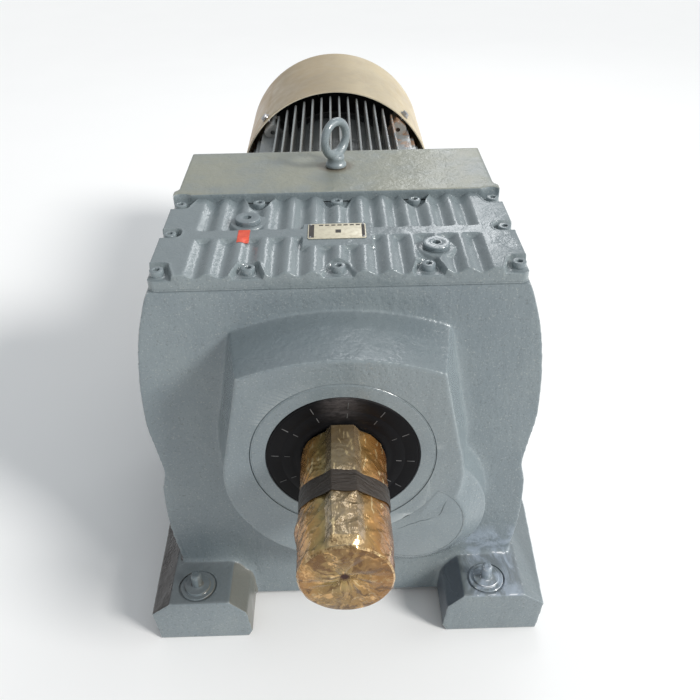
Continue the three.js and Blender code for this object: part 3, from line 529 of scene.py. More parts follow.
def enamel(name, dust=1.0, cast_depth=0.0006, light=(0.222, 0.262, 0.275), dark=(0.185, 0.225, 0.245),
           edge_highlight=0.0, rust=0.0):
    """Grey machine paint: cloudy, speckled, dusty on top and rusty on the right, with painted shade on faces
    looking up and on the feet, a painted highlight along its edges and a painted reflection over the right foot.
    """
    s = Shader(name)
    x, height = s.part(s.where, "X"), s.part(s.where, "Z")
    color = s.mix(s.ramp(s.noise(6, 4, 0.6), 0.35, 0.7), dark, light)
    color = s.mix(s.ramp(s.noise(420, 2, 0.6), 0.56, 0.74, 0, 0.7), color, (0.35, 0.38, 0.37))
    color = s.mix(s.ramp(s.noise(300, 2, 0.6), 0.43, 0.27, 0, 0.55), color, (0.11, 0.13, 0.14))
    upward = s.ramp(s.facing("Z"), 0.7, 0.97)
    # Painted shade: faces that look up are darkened, to hold down the light that falls on them.
    color = s.mix(s.times(upward, 0.6), color, (0.14, 0.168, 0.182))
    edges = s.node("NewGeometry").outputs["Pointiness"]
    # Painted highlight: a lighter grey along sharp edges, standing in for wet glints on them.
    color = s.mix(s.ramp(edges, 0.53, 0.58, 0, edge_highlight), color, (0.46, 0.5, 0.51))
    dusty = s.ramp(s.noise(9, 5, 0.65), 0.3, 0.62, 0.35 * dust, dust)
    settled = s.times(upward, s.ramp(height, 0.584, 0.589), dusty)
    color = s.mix(settled, color, (0.25, 0.255, 0.205))
    color = painted_foot_shade(s, color, x, height, upward)
    color = painted_foot_reflection(s, color, x, height)
    color = stain_round_eye(s, color, x, height)
    rusty = s.times(s.ramp(x, 0.1, 0.13), s.ramp(s.noise(24, 3, 0.6), 0.46, 0.56, 0, rust))
    color = s.mix(rusty, color, (0.36, 0.17, 0.065))
    wet = s.ramp(s.noise(7, 3, 0.5), 0.42, 0.6)
    roughness = s.plus(s.ramp(wet, 0, 1, 0.42, 0.24), s.times(settled, 0.2))
    grain = s.bump(s.noise(150, 4, 0.6), cast_depth)
    grain = s.bump(s.noise(26, 3, 0.5, 0.4, s.stretched((1.0, 1.0, 0.35))), 0.0022, 1.0, grain)
    s.set(color=color, roughness=roughness, metallic=0.0, specular=0.5, normal=grain)
    s.set(coat=0.5, coat_roughness=0.08, coat_normal=grain)
    return s.material


def steel(name, tone=(0.46, 0.46, 0.47), roughness=0.32):
    s = Shader(name)
    turned = s.noise(90, 3, 0.6, 0.0, s.stretched((1.0, 14.0, 1.0)))
    color = s.mix(s.ramp(s.noise(30, 4, 0.6), 0.4, 0.75), tone, tuple(0.72 * c for c in tone))
    s.set(color=color, metallic=1.0, roughness=s.ramp(turned, 0.3, 0.7, roughness - 0.1, roughness + 0.12))
    s.set(normal=s.bump(turned, 0.00012))
    return s.material


def dark_iron(name):
    s = Shader(name)
    color = s.mix(s.noise(40, 4, 0.6), (0.05, 0.052, 0.055), (0.1, 0.102, 0.105))
    s.set(color=color, metallic=0.4, roughness=s.ramp(s.noise(25, 3), 0.3, 0.7, 0.45, 0.65))
    s.set(normal=s.bump(s.noise(260, 4, 0.6), 0.0005))
    return s.material


def tan_sheet(name):
    """Tan sheet paint with soft streaks: warmer to the left, with painted light making it paler to the right and a
    painted highlight on the front edge.
    """
    s = Shader(name)
    across = s.plus(s.times(s.part(s.where, "X"), 2.2), 0.5)
    # Colour across the cowl: warmer tan to the left, paler to the right where painted light falls.
    color = s.colors(across, [
        (0.03, (0.52, 0.34, 0.17)), (0.2, (0.46, 0.345, 0.2)), (0.5, (0.42, 0.34, 0.215)),
        (0.72, (0.5, 0.42, 0.27)), (0.95, (0.6, 0.5, 0.33)),
    ])
    streaks = s.noise(14, 4, 0.6, 0.3, s.stretched((1.0, 0.5, 1.0)))
    color = s.mix(s.ramp(streaks, 0.35, 0.75, 0, 0.45), color, (0.32, 0.25, 0.155))
    # Painted highlight on the front edge.
    color = s.mix(s.ramp(s.facing("Y"), -0.5, -0.9), color, (0.66, 0.6, 0.47))
    s.set(color=color, metallic=0.0, roughness=s.ramp(s.noise(30, 3), 0.3, 0.7, 0.3, 0.46))
    s.set(normal=s.bump(s.noise(9, 2), 0.004, 0.5, s.bump(s.noise(500, 2), 0.0001)))
    return s.material


def black_rubber(name):
    """Black rubber, with a painted reflection: a grey streak above the shaft."""
    s = Shader(name)
    x = s.part(s.where, "X")
    above = s.ramp(s.part(s.where, "Z"), 0.41, 0.455)
    worn = s.times(above, s.ramp(x, 0.04, 0.0), s.ramp(x, -0.04, -0.005))
    streak = s.noise(260, 4, 0.7, 0.0, s.stretched((0.4, 1.0, 1.0)))
    color = s.mix(s.ramp(streak, 0.5, 0.75, 0, 0.35), (0.006, 0.006, 0.007), (0.016, 0.015, 0.017))
    # Painted reflection: a grey streak across the top of the seal.
    color = s.mix(s.times(worn, s.ramp(streak, 0.3, 0.7, 0.3, 1.0)), color, (0.09, 0.08, 0.078))
    s.set(color=color, roughness=s.ramp(streak, 0.3, 0.7, 0.4, 0.55), specular=0.1)
    s.set(normal=s.bump(streak, 0.00012))
    return s.material


def crumple_tip(s, color, x, z, fine):
    """The gathered film over the shaft's end: radial folds with painted shade and painted highlights on them, a
    painted shadow over its upper half, a painted highlight round its rim, and a dark hole of painted shade.
    """
    dx, dz = s.plus(x, -HOLE_X), s.plus(z, -HOLE_Z)
    from_hole = s.length(dx, dz)
    turn = s.times(s.math("ARCTAN2", dz, dx), 2.6)
    crumple = s.times(s.plus(s.noise(38, 3, 0.6, 0.8), -0.5), 3.4)
    around = s.node("CombineXYZ", X=s.plus(turn, crumple), Y=s.times(from_hole, 30.0), Z=0.0)
    folds = s.noise(1.15, 3, 0.6, 0.9, around.outputs["Vector"])
    front = s.ramp(s.facing("Y"), -0.3, -0.65)
    color = s.mix(s.times(front, s.ramp(from_hole, 0.012, 0.03, 0.15, 0.6)), color, (0.22, 0.115, 0.035))
    # Painted shade in the folds, then painted highlights on them.
    color = s.mix(s.times(front, s.ramp(folds, 0.49, 0.4, 0, 0.8)), color, (0.11, 0.052, 0.014))
    color = s.mix(s.times(front, s.ramp(folds, 0.56, 0.68, 0, 0.6)), color, (0.8, 0.48, 0.2))
    # Painted shadow over the upper half of the tip.
    shade = s.times(front, s.ramp(dz, -0.004, 0.02, 0, 0.62), s.ramp(folds, 0.62, 0.4))
    color = s.mix(shade, color, (0.16, 0.075, 0.02))
    # Painted highlight round the tip's rim.
    rim = s.times(s.ramp(s.facing("Y"), -0.25, -0.45), s.ramp(s.facing("Y"), -0.85, -0.6))
    color = s.mix(s.times(rim, s.ramp(fine, 0.35, 0.6, 0.1, 0.75)), color, (0.85, 0.62, 0.32))
    # Painted shade in the recessed hole.
    dark = s.ramp(s.plus(from_hole, s.times(fine, 0.004)), 0.0105, 0.005)
    return s.mix(s.times(dark, front), color, (0.05, 0.012, 0.006)), dark


def amber_film(name):
    """Amber wrapping film, orange at its sides and olive on top, partly its own tone and partly painted
    reflection; painted reflections also give a greyer key top and dark patches, and painted highlights follow its
    light crinkles.
    """
    s = Shader(name)
    x, z = s.part(s.where, "X"), s.part(s.where, "Z")
    wander = s.times(s.plus(s.noise(55, 3, 0.6), -0.5), 0.25)
    across = s.plus(s.plus(s.times(x, 1 / FILM_WIDTH), 0.5), wander)
    # Colour across the film: partly its own amber tone, partly painted reflection.
    color = s.colors(across, [
        (0.0, (0.36, 0.15, 0.04)), (0.12, (0.62, 0.33, 0.1)), (0.27, (0.44, 0.32, 0.12)),
        (0.42, (0.3, 0.22, 0.085)), (0.5, (0.38, 0.27, 0.105)), (0.66, (0.5, 0.3, 0.1)),
        (0.84, (0.42, 0.2, 0.055)), (1.0, (0.24, 0.09, 0.022)),
    ])
    fine = s.noise(320, 3, 0.65, 1.2)
    # Painted reflection: greyer on the key's flat top.
    top_reflection = s.times(s.ramp(z, 0.404, 0.413), s.ramp(fine, 0.25, 0.7, 0.5, 0.9))
    color = s.mix(top_reflection, color, (0.32, 0.25, 0.17))
    # Dark patches of painted reflection.
    color = s.mix(s.ramp(s.noise(30, 3, 0.6, 0.6), 0.45, 0.66, 0.0, 0.5), color, (0.17, 0.1, 0.03))
    streaks = s.noise(120, 3, 0.6, 0.8, s.stretched((1.0, 0.28, 1.0)))
    # Painted highlights along the crinkles.
    color = s.mix(s.ramp(streaks, 0.6, 0.68, 0.0, 0.8), color, (0.85, 0.66, 0.36))
    color, dark = crumple_tip(s, color, x, z, fine)
    grain = s.bump(streaks, 0.0009, 0.9)
    grain = s.bump(s.noise(40, 2, 0.5, 1.2), 0.0022, 0.8, grain)
    s.set(color=color, metallic=0.6, roughness=s.ramp(dark, 0, 1, 0.24, 0.8), specular=0.5, normal=grain)
    s.set(coat=0.4, coat_roughness=0.05, coat_normal=grain)
    return s.material


def dark_tape(name):
    s = Shader(name)
    ridges = s.noise(24, 3, 0.6, 0.2, s.stretched((0.5, 9.0, 0.5)))
    color = s.mix(ridges, (0.016, 0.012, 0.009), (0.05, 0.036, 0.026))
    s.set(color=color, roughness=s.ramp(ridges, 0.3, 0.7, 0.3, 0.55))
    folds = s.bump(s.noise(60, 4, 0.65, 1.2, s.stretched((0.7, 1.6, 0.7))), 0.002, 0.9)
    s.set(normal=s.bump(ridges, 0.0014, 0.9, folds))
    return s.material


def cream_plate(name):
    s = Shader(name)
    worn = s.noise(120, 4, 0.6)
    color = s.mix(s.ramp(worn, 0.4, 0.75), (0.66, 0.61, 0.47), (0.52, 0.47, 0.36))
    s.set(color=color, roughness=s.ramp(worn, 0.3, 0.7, 0.3, 0.5), metallic=0.1)
    s.set(normal=s.bump(s.noise(60, 2), 0.0004))
    return s.material


def plain(name, light, dark, roughness, scale=120, depth=0.0002, metallic=0.0):
    s = Shader(name)
    mottle = s.noise(scale, 4, 0.6)
    s.set(color=s.mix(s.ramp(mottle, 0.35, 0.7), light, dark), metallic=metallic)
    s.set(roughness=s.ramp(mottle, 0.3, 0.7, roughness - 0.08, roughness + 0.08))
    s.set(normal=s.bump(mottle, depth))
    return s.material


ENAMEL = enamel("enamel_cast", cast_depth=0.0009, edge_highlight=0.7)
ENAMEL_FINE = enamel("enamel_machined", 0.0, 0.0003)
ENAMEL_COVER = enamel("enamel_cover", 0.0, 0.0006, (0.235, 0.275, 0.285), (0.2, 0.238, 0.252))
FIN_ENAMEL = enamel("enamel_motor", 1.0, 0.0004, (0.32, 0.31, 0.28), (0.24, 0.24, 0.235), rust=0.6)
STEEL = steel("steel_turned")
GEAR_STEEL = steel("steel_gear", (0.34, 0.35, 0.36), 0.36)
BEARING_STEEL = steel("steel_bearing", (0.58, 0.59, 0.6), 0.22)
IRON = dark_iron("iron_dark")
TAN = tan_sheet("sheet_tan")
RUBBER = black_rubber("rubber_black")
FILM = amber_film("film_amber")
TAPE = dark_tape("tape_dark")
PLATE = cream_plate("plate_cream")
LABEL = plain("label_red", (0.72, 0.1, 0.05), (0.62, 0.07, 0.035), 0.45)
TICK = plain("rubber_tick", (0.15, 0.15, 0.15), (0.05, 0.05, 0.05), 0.5, 60)
PLASTIC = plain("plastic_black", (0.022, 0.023, 0.025), (0.035, 0.036, 0.038), 0.48)
DARK_INK = plain("ink_dark", (0.035, 0.03, 0.028), (0.06, 0.052, 0.045), 0.6)


# ---------- gear housing ----------
def leaning_y(z):
    return WALL_FOOT_Y + WALL_LEAN * z


def front_wedge(offset):
    """Everything in front of the leaning front wall."""
    side = [(-100, -50), (leaning_y(-50) + offset, -50), (leaning_y(700) + offset, 700), (-100, 700)]
    return prism_x("tool", side, -400, 400)


BOSS_X, BOSS_CORNER, BOSS_CROWN, BOSS_ROUND_R, BOSS_ROUND_Z = 135, 139, 27, 168, -38


def boss_ring(spread, y):
    """The output boss's outline: a gently arched top between two corners, round below."""
    corner_x, corner_z = BOSS_X + spread, BOSS_CORNER + spread / 8
    arch_r = (corner_x**2 + BOSS_CROWN**2) / (2 * BOSS_CROWN)
    half = math.asin(corner_x / arch_r)
    round_r = BOSS_ROUND_R + spread
    points = []
    for i in range(25):
        angle = half * (1 - i / 12)
        points.append((arch_r * math.sin(angle), corner_z + arch_r * (math.cos(angle) - math.cos(half))))
    for i in range(61):
        angle = math.pi - 0.3 + (math.pi + 0.6) * i / 60
        points.append((round_r * math.cos(angle), BOSS_ROUND_Z + round_r * math.sin(angle)))
    return [(x, y, z + AXIS_Z) for x, z in points]


def rear_pocket(side, wall):
    x0, x1 = sorted((side * (POCKET_X - wall), side * 330))
    return box("tool", x0, x1, POCKET_Y - wall, REAR_WALL + 5, FOOT_TOP - wall, POCKET_TOP + wall)


def foot_rail(side):
    """A foot whose outer side spreads a little from its front end back to where it runs straight."""
    front, rear = FOOT_FLARE[side]
    places = ((FOOT_FRONT, front), (FOOT_STRAIGHT, rear), (FOOT_REAR, rear))
    return loft("tool", [
        [(side * (x + flare if x > 290 else x), y, z) for x, z in FOOT_SIDE]
        for y, flare in places
    ])


def cavity():
    """The room inside the casting: its outline a wall's thickness in, less the web and the rear pockets."""
    rear = REAR_WALL - REAR_WALL_THICKNESS
    side = [(x - WALL, z) for x, z in BODY_SIDE[1:-1]]
    side = [(BODY_SIDE[0][0] - WALL, BODY_BOTTOM + WALL), *side, (230, 540), (230, JOINT_FACE + 5)]
    room = prism_y("tool", mirrored(side), 240, rear)
    boolean(room, [front_wedge(FRONT_WALL), box("tool", -300, 300, 539, REAR_WALL, 548, 590)])
    roof = box("tool", -228, 228, 539, rear, 500, TOP_Z - WALL)
    boolean(room, [roof], "UNION")
    web = box("tool", -300, 300, WEB_FRONT, WEB_REAR, 0, 520)
    return boolean(room, [web, rear_pocket(-1, WALL), rear_pocket(1, WALL)])


def cap_body(r, bite, y0, y1):
    """A disc in the second boss, bitten by the ring of the output boss."""
    return boolean(disc(r, y0, y1, LAY_X, LAY_Z), [disc(bite, y0 - 5, y1 + 5, segments=160)])


def cover_bolt_places():
    rear = [(x, BOLT_REAR) for x in BOLT_X]
    sides = [(BOLT_X[0], BOLT_MIDDLE), (BOLT_X[4], BOLT_MIDDLE)]
    return rear + sides + [(x, BOLT_FRONT) for x in BOLT_X]


def paint_crack(points, half, y0, y1):
    """A thin wall along a jagged line on the boss face."""
    line = np.array(points, float)
    steps = np.gradient(line, axis=0)
    aside = np.stack([-steps[:, 1], steps[:, 0]], 1)
    aside /= np.linalg.norm(aside, axis=1)[:, None]
    taper = np.sin(np.linspace(0.15, math.pi - 0.15, len(line)))[:, None]
    outline = np.vstack([line + half * aside * taper, (line - half * aside * taper)[::-1]])
    return prism_y("tool", [tuple(p) for p in outline], y0, y1)


def paint_cracks():
    lines = (
        [(147, 264), (144, 257), (142.5, 250), (140, 239.4), (136, 234)],
        [(133, 231.5), (127, 230.5), (119, 226.5), (111.5, 226),
         (103, 221), (96, 219), (84, 212), (76, 209)],
    )
    return [paint_crack(line, 0.6, BOSS_FACE - 2, BOSS_FACE + 1.2) for line in lines]


def top_box():
    """The raised box behind the cover, with an ear and a bolt's recess at each front corner."""
    side = [(256, JOINT_FACE - 2), (252.5, TOP_Z - 5), (251, TOP_Z)]
    block = prism_y("tool", mirrored(side), TOP_FRONT, REAR_WALL)
    ear = [(235, 0), (258.5, 0), (258.5, 16), (251, 24), (235, 24)]
    ears = [
        prism_z("tool", [(side * x, TOP_FRONT + y) for x, y in ear], JOINT_FACE - 2, TOP_Z)
        for side in SIDES
    ]
    boolean(block, ears, "UNION")
    recesses = [hole(RECESS_R, POCKET_FLOOR, TOP_Z + 9, side * BOLT_X[4], BOLT_REAR, 48) for side in SIDES]
    return boolean(block, recesses)


def bosses():
    output = loft("tool", [boss_ring(0, BOSS_FACE), boss_ring(22, 330)])
    second = lathe("tool", [(0, BOSS_FACE), (76, BOSS_FACE), (110, 228), (118, 320), (0, 320)], LAY_X, LAY_Z)
    level = along_x(disc(20, 0, 20, 0, 0, 48), LEVEL_PLUG)
    return [output, second, level]


def housing_bores():
    web = (WEB_FRONT - 5, WEB_REAR + 5)
    rear = (REAR_WALL - 40, REAR_WALL + 5)
    eye = middle("lifting_eyebolt")
    return [
        disc(RING_R + GAP, BOSS_FACE - 8, BOSS_FACE + RING_DEPTH),
        disc(OUT_BEARING_R + GAP, BOSS_FACE - 3, 341),
        disc(20, BOSS_FACE - 3, 262, LAY_X, LAY_Z, 32),
        disc(LAY_BEARING_R + GAP, 260, 340, LAY_X, LAY_Z),
        disc(72, *rear),
        disc(OUT_REAR_BEARING_R + GAP, *web),
        disc(70, *web, LAY_X, LAY_Z),
        cap_body(CAP_R + GAP, CAP_BITE_R - GAP, BOSS_FACE - 8, BOSS_FACE + CAP_DEPTH + GAP),
        *paint_cracks(),
        disc(PLUG_HOLE_R, *rear, *DRAIN_PLUG, 32),
        disc(LAY_BEARING_R + GAP, 690, 734, LAY_X, LAY_Z),
        disc(40, *web, -120, 130, 48),
        along_x(disc(PLUG_HOLE_R, 0, 60, 0, 0, 32), (-300, *LEVEL_PLUG[1:])),
        hole(12.3, TOP_Z - 8, TOP_Z + 5, eye.x, eye.y),
    ]


def foot_holes():
    """A through hole and a spot face round each foot bolt; the front seats follow their washers."""
    tools = []
    for side in SIDES:
        for y in FOOT_HOLE_Y:
            tools.append(hole(FOOT_HOLE_R, -5, FOOT_TOP + 5, side * FOOT_HOLE_X, y))
            seat_x = middle(SEATS[side]).x if y == FOOT_HOLE_Y[0] else side * FOOT_HOLE_X
            tools.append(hole(SPOT_R, FOOT_TOP - SPOT_DEPTH, FOOT_TOP + 6, seat_x, y, 64))
    return tools


def housing():
    side = curve([(x + 1.2, z) for x, z in BODY_SIDE], 8)
    body = prism_y("housing_casting", mirrored(side), 200, REAR_WALL)
    boolean(body, [front_wedge(0)])
    boolean(body, [top_box(), *bosses()], "UNION")
    boolean(body, [rear_pocket(-1, 0), rear_pocket(1, 0)])
    boolean(body, [foot_rail(-1), foot_rail(1)], "UNION")
    cast(body, 2.3, 40, 1, 0.16)
    at = cover_bolt_places()
    threads = [hole(COVER_HOLE_R, JOINT_FACE - 24, JOINT_FACE + 1, x, y, 16) for x, y in at]
    boolean(body, [cavity(), *housing_bores(), *foot_holes(), *threads])
    finish(body, ENAMEL, replaces=["gear_housing"])


housing()


# ---------- inspection cover ----------
def smoothstep(value, low, high):
    t = np.clip((value - low) / (high - low), 0, 1)
    return t * t * (3 - 2 * t)


def rounded_distance(a, b, r):
    return np.hypot(np.maximum(a, 0), np.maximum(b, 0)) + np.minimum(np.maximum(a, b), 0) - r


def pocket_distance(x, y, bolt):
    """How far a point lies outside the pocket around one bolt, along the cover."""
    bx, by = bolt
    at_corner = abs(bx) == BOLT_X[4]
    if by == BOLT_MIDDLE:
        out, aside, back, wide = math.copysign(1, bx) * (x - bx), np.abs(y - by), 17, 14
        return rounded_distance(aside - (wide - 11), -out - (back - 11), 11)
    out = (by - y) if by == BOLT_FRONT else (y - by)
    aside = np.abs(x - bx)
    if at_corner:
        aside = np.maximum(-math.copysign(1, bx) * (x - bx), -20)
    wide = 15 + 8 * np.clip((out + 8) / 24, 0, 1)
    return rounded_distance(aside - (wide - 9), -out - (18 - 9), 9)


PLUG_PLACES = {"breather_plug": (-133, 475), "oil_filler_plug": (137, 382)}
GROOVE_PITCH, GROOVE_DEPTH, GROOVE_END = 35, 7, 210


def cover_height(x, y):
    wave = (0.5 - 0.5 * np.cos(2 * math.pi * x / GROOVE_PITCH)) ** 1.15
    wave *= 1 - smoothstep(np.abs(x), GROOVE_END - 1, GROOVE_END)
    front = 1 - smoothstep(y, 418, 424)
    rear = smoothstep(y, 446, 452)
    banks = np.maximum(front, rear)
    pad = np.maximum(np.abs(x) - 50, np.maximum(394 - y, y - 462))
    banks = banks * smoothstep(pad, -0.5, 3.5)
    for px, py in PLUG_PLACES.values():
        banks = banks * smoothstep(np.hypot(x - px, y - py), 25, 29)
    height = COVER_TOP - GROOVE_DEPTH * wave * banks
    for bolt in cover_bolt_places():
        away = pocket_distance(x, y, bolt)
        inside = 1 - smoothstep(away, -3.2, 0.8)
        lip = 0.8 * np.exp(-((away - 1.8) / 1.6) ** 2)
        height = height * (1 - inside) + POCKET_FLOOR * inside + lip * (1 - inside)
        foot = np.hypot(x - bolt[0], y - bolt[1]) - 9.5
        height += 1.6 * np.exp(-(np.maximum(foot, 0) / 1.3) ** 2)
    edge = np.minimum(COVER_HALF - np.abs(x), y - COVER_FRONT)
    ease = 2.2
    inset = np.clip(ease - edge, 0, ease)
    return height - (ease - np.sqrt(np.maximum(ease**2 - inset**2, 0)))


def with_edges(low, high, pitch):
    """Even steps, with finer ones where the surface turns down at its ends."""
    fine = np.array([0, 0.25, 0.6, 1.1, 1.7, 2.3])
    inner = np.linspace(low + 3.4, high - 3.4, int((high - low - 6.8) / pitch) + 1)
    return np.concatenate([low + fine, inner, (high - fine)[::-1]])


def cover():
    xs = with_edges(-COVER_HALF, COVER_HALF, 1.35)
    ys = with_edges(COVER_FRONT, COVER_REAR, 1.35)
    grid_x, grid_y = np.meshgrid(xs, ys)
    height = cover_height(grid_x, grid_y)
    rows, cols = height.shape
    count = rows * cols
    top = np.stack([grid_x, grid_y, height], -1).reshape(-1, 3)
    bottom = top.copy()
    bottom[:, 2] = JOINT_FACE + 2
    index = np.arange(count).reshape(rows, cols)
    rim = np.concatenate([index[0, :-1], index[:-1, -1], index[-1, :0:-1], index[:0:-1, 0]])
    after = np.roll(rim, -1)
    where = {int(v): count + i for i, v in enumerate(rim)}
    walls = [(int(b), int(a), where[int(a)], where[int(b)]) for a, b in zip(rim, after)]
    base = [where[int(v)] for v in rim]
    vertices = np.vstack([top, bottom[rim]])
    plate = mesh_object("cover_ribbed", vertices.tolist(), grid_faces(rows, cols) + walls + [base])
    outward(plate)
    outline = rounded(-COVER_HALF - 0.01, COVER_HALF + 0.01, COVER_FRONT - 0.01, COVER_REAR + 40, 11, 10)
    boolean(plate, [prism_z("tool", outline, JOINT_FACE, COVER_TOP + 6)], "INTERSECT")
    tools = [hole(COVER_HOLE_R, 550, 600, x, y, 16) for x, y in cover_bolt_places()]
    tools += [hole(14.3, 550, 600, x, y) for x, y in PLUG_PLACES.values()]
    boolean(plate, tools)
    decimate(plate, 0.4)
    finish(plate, ENAMEL_COVER, replaces=["inspection_cover"], smooth_angle=40)


cover()


def gasket_bead():
    """The painted-over joint: a thin rounded edge showing all round under the cover."""
    half, front, rear = COVER_HALF + 0.5, COVER_FRONT - 0.5, TOP_FRONT - GAP
    outline = rounded(-half, half, front, rear, 11.5, 10)
    slab = prism_z("cover_gasket_painted", outline, JOINT_FACE - 0.2, JOINT_FACE + 2.2)
    tools = [prism_z("tool", rounded(-230, 230, 346, 532, 8), JOINT_FACE - 5, JOINT_FACE + 5)]
    tools += [hole(COVER_HOLE_R, 550, 570, x, y, 16) for x, y in cover_bolt_places()]
    boolean(slab, tools)
    bevel(slab, 0.7, 2, 60)
    finish(slab, ENAMEL_COVER, replaces=["cover_gasket"])


gasket_bead()


def cover_bolts():
    foot, seat = JOINT_FACE - 23, POCKET_FLOOR + GAP
    profile = [(0, foot), (6, foot), (6, seat), (9.2, seat), (9.6, seat + 1), (9.5, seat + 8.6),
               (9.1, seat + 9.6), (8.2, seat + 10), (0, seat + 10)]
    for number, (x, y) in enumerate(cover_bolt_places(), 1):
        name = f"cover_bolt_{number:02d}"
        bolt = lathe_z(f"{name}_painted", profile, x, y, 40)
        turn = 0.4 * number
        funnel = loft("tool", [
            [(px, py, z) for px, py in circle(r, x, y, 6, turn)]
            for r, z in ((4.6, seat + 4), (4.7, seat + 9), (5.6, seat + 10.2))
        ])
        boolean(bolt, [funnel])
        finish(bolt, ENAMEL_FINE, replaces=[name])


cover_bolts()


def cover_plugs():
    seat = COVER_TOP + GAP
    profile = [(0, JOINT_FACE + 4), (14, JOINT_FACE + 4), (14, seat)]
    profile += [(r, seat + rise) for r, rise in (
        (19, 0), (19.2, 0.5), (19.2, 1.6), (18.3, 1.9), (18.3, 2.4), (18.9, 2.7), (18.9, 5.8), (18.2, 6.7),
        (17, 7), (9.5, 7), (8.6, 6.6), (0, 6.6),
    )]
    for name, (x, y) in PLUG_PLACES.items():
        plug = lathe_z(f"{name}_painted", profile, x, y, 64)
        boolean(plug, [prism_z("tool", circle(6.6, x, y, 6, 0.5), seat + 1.5, seat + 12)])
        finish(plug, ENAMEL_FINE, replaces=[name])


cover_plugs()


def nameplate():
    """A blank plate: a frame of plain blocks where a maker's data would stand, and four rivets."""
    low, high = place("nameplate")
    outline = rounded(low.x, high.x, low.y, high.y, 3)
    plate = bevel(prism_z("nameplate_blank", outline, low.z, high.z), 0.3)
    finish(plate, PLATE, replaces=["nameplate"])
    top = high.z
    marks = [
        (low.x + 1.5, low.x + 9, low.y + 3, high.y - 3),
        (high.x - 6, high.x - 1.5, low.y + 3, high.y - 3),
    ]
    for i in range(7):
        start = low.x + 16 + i * 9
        marks.append((start, start + 6, high.y - 7, high.y - 3.5))
    marks.append((-3, 5, low.y + 17, low.y + 27))
    panels = [box("tool", x0, x1, y0, y1, top - 0.1, top + 0.15) for x0, x1, y0, y1 in marks]
    finish(joined("nameplate_marks", panels), DARK_INK)
    dome = [(0, top - 0.2), (2, top - 0.2), (1.8, top + 0.7), (1, top + 1.2), (0, top + 1.3)]
    rivets = [
        lathe_z("tool", dome, x, y, 16)
        for x in (low.x + 3.5, high.x - 3.5) for y in (low.y + 4, high.y - 4)
    ]
    finish(joined("nameplate_rivets", rivets), STEEL)


nameplate()


def marking_label():
    """A thin blank label that follows the ribs that it is stuck over."""
    low, high = place("marking_label")
    columns, rows = 14, 26
    grid_x, grid_y = np.meshgrid(np.linspace(low.x, high.x, columns), np.linspace(low.y, high.y, rows))
    lying = np.maximum(cover_height(grid_x, grid_y), COVER_TOP - 2.5) + 0.25
    vertices = np.stack([grid_x, grid_y, lying], -1).reshape(-1, 3)
    label = mesh_object("label_blank", vertices.tolist(), grid_faces(rows, columns))
    thicken(label, 0.3, 1)
    finish(label, LABEL, replaces=["marking_label"])


marking_label()


# ---------- eyebolt and foot studs ----------
def eyebolt():
    low, high = place("lifting_eyebolt")
    x, y = (low.x + high.x) / 2, (low.y + high.y) / 2
    base = TOP_Z + GAP
    ring_r, wire_r = 27, 7
    centre = high.z - ring_r - wire_r
    turns, sides = 96, 28
    vertices, faces = [], []
    for i in range(turns):
        a = 2 * math.pi * i / turns
        thick = wire_r + 1.8 * max(0.0, -math.sin(a)) ** 3
        ring, after = i * sides, (i + 1) % turns * sides
        for k in range(sides):
            b = 2 * math.pi * k / sides
            r = ring_r + thick * math.cos(b)
            beside = (k + 1) % sides
            vertices.append((r * math.cos(a), thick * math.sin(b), r * math.sin(a)))
            faces.append((ring + k, ring + beside, after + beside, after + k))
    eye = outward(mesh_object("lifting_eyebolt_forged", vertices, faces))
    eye.data.transform(Matrix.Translation((x, y, centre)) @ Matrix.Rotation(math.radians(50), 4, "Z"))
    collar = [(r, base + rise) for r, rise in (
        (0, 0.2), (17, 0.2), (17.5, 1), (17.5, 5), (16.2, 7),
        (14.5, 9), (14, 12), (14.6, 16), (12.5, 20), (0, 21),
    )]
    boolean(eye, [lathe_z("tool", collar, x, y, 64)], "UNION")
    cast(eye, 0.9, 30, 2, 0.22)
    thread = lathe_z("tool", [(0, base - 7), (12, base - 7), (12, base + 2), (0, base + 2)], x, y, 32)
    boolean(eye, [thread], "UNION")
    finish(eye, ENAMEL_FINE, replaces=["lifting_eyebolt"], smooth_angle=60)


eyebolt()


def foot_studs():
    seat, top = FOOT_TOP - SPOT_DEPTH + GAP, FOOT_TOP + 30
    washer = [(r, seat + rise) for r, rise in (
        (8.4, 0), (26.3, 0), (27, 0.7), (27, 2.6), (26.2, 3.3), (20.6, 3.4), (20.2, 3.8), (20, 6),
        (19.2, 6.6), (12, 6.8), (9.6, 7.8), (8.4, 8.6),
    )]
    stud = [(0, 4), (8, 4), (8, seat + 7), (8.3, seat + 9), (8.1, top - 7), (7.7, top - 3),
            (6.2, top - 0.8), (3.5, top), (2.4, top - 0.6), (0, top - 0.8)]
    for name in ("left", "right"):
        at = middle(f"foot_stud_{name}")
        finish(lathe_z(f"foot_washer_{name}_painted", washer, at.x, at.y, 72), ENAMEL_FINE,
               replaces=[f"foot_washer_{name}"])
        finish(lathe_z(f"foot_stud_{name}_painted", stud, at.x, at.y, 40), ENAMEL_FINE,
               replaces=[f"foot_stud_{name}"], smooth_angle=50)


foot_studs()


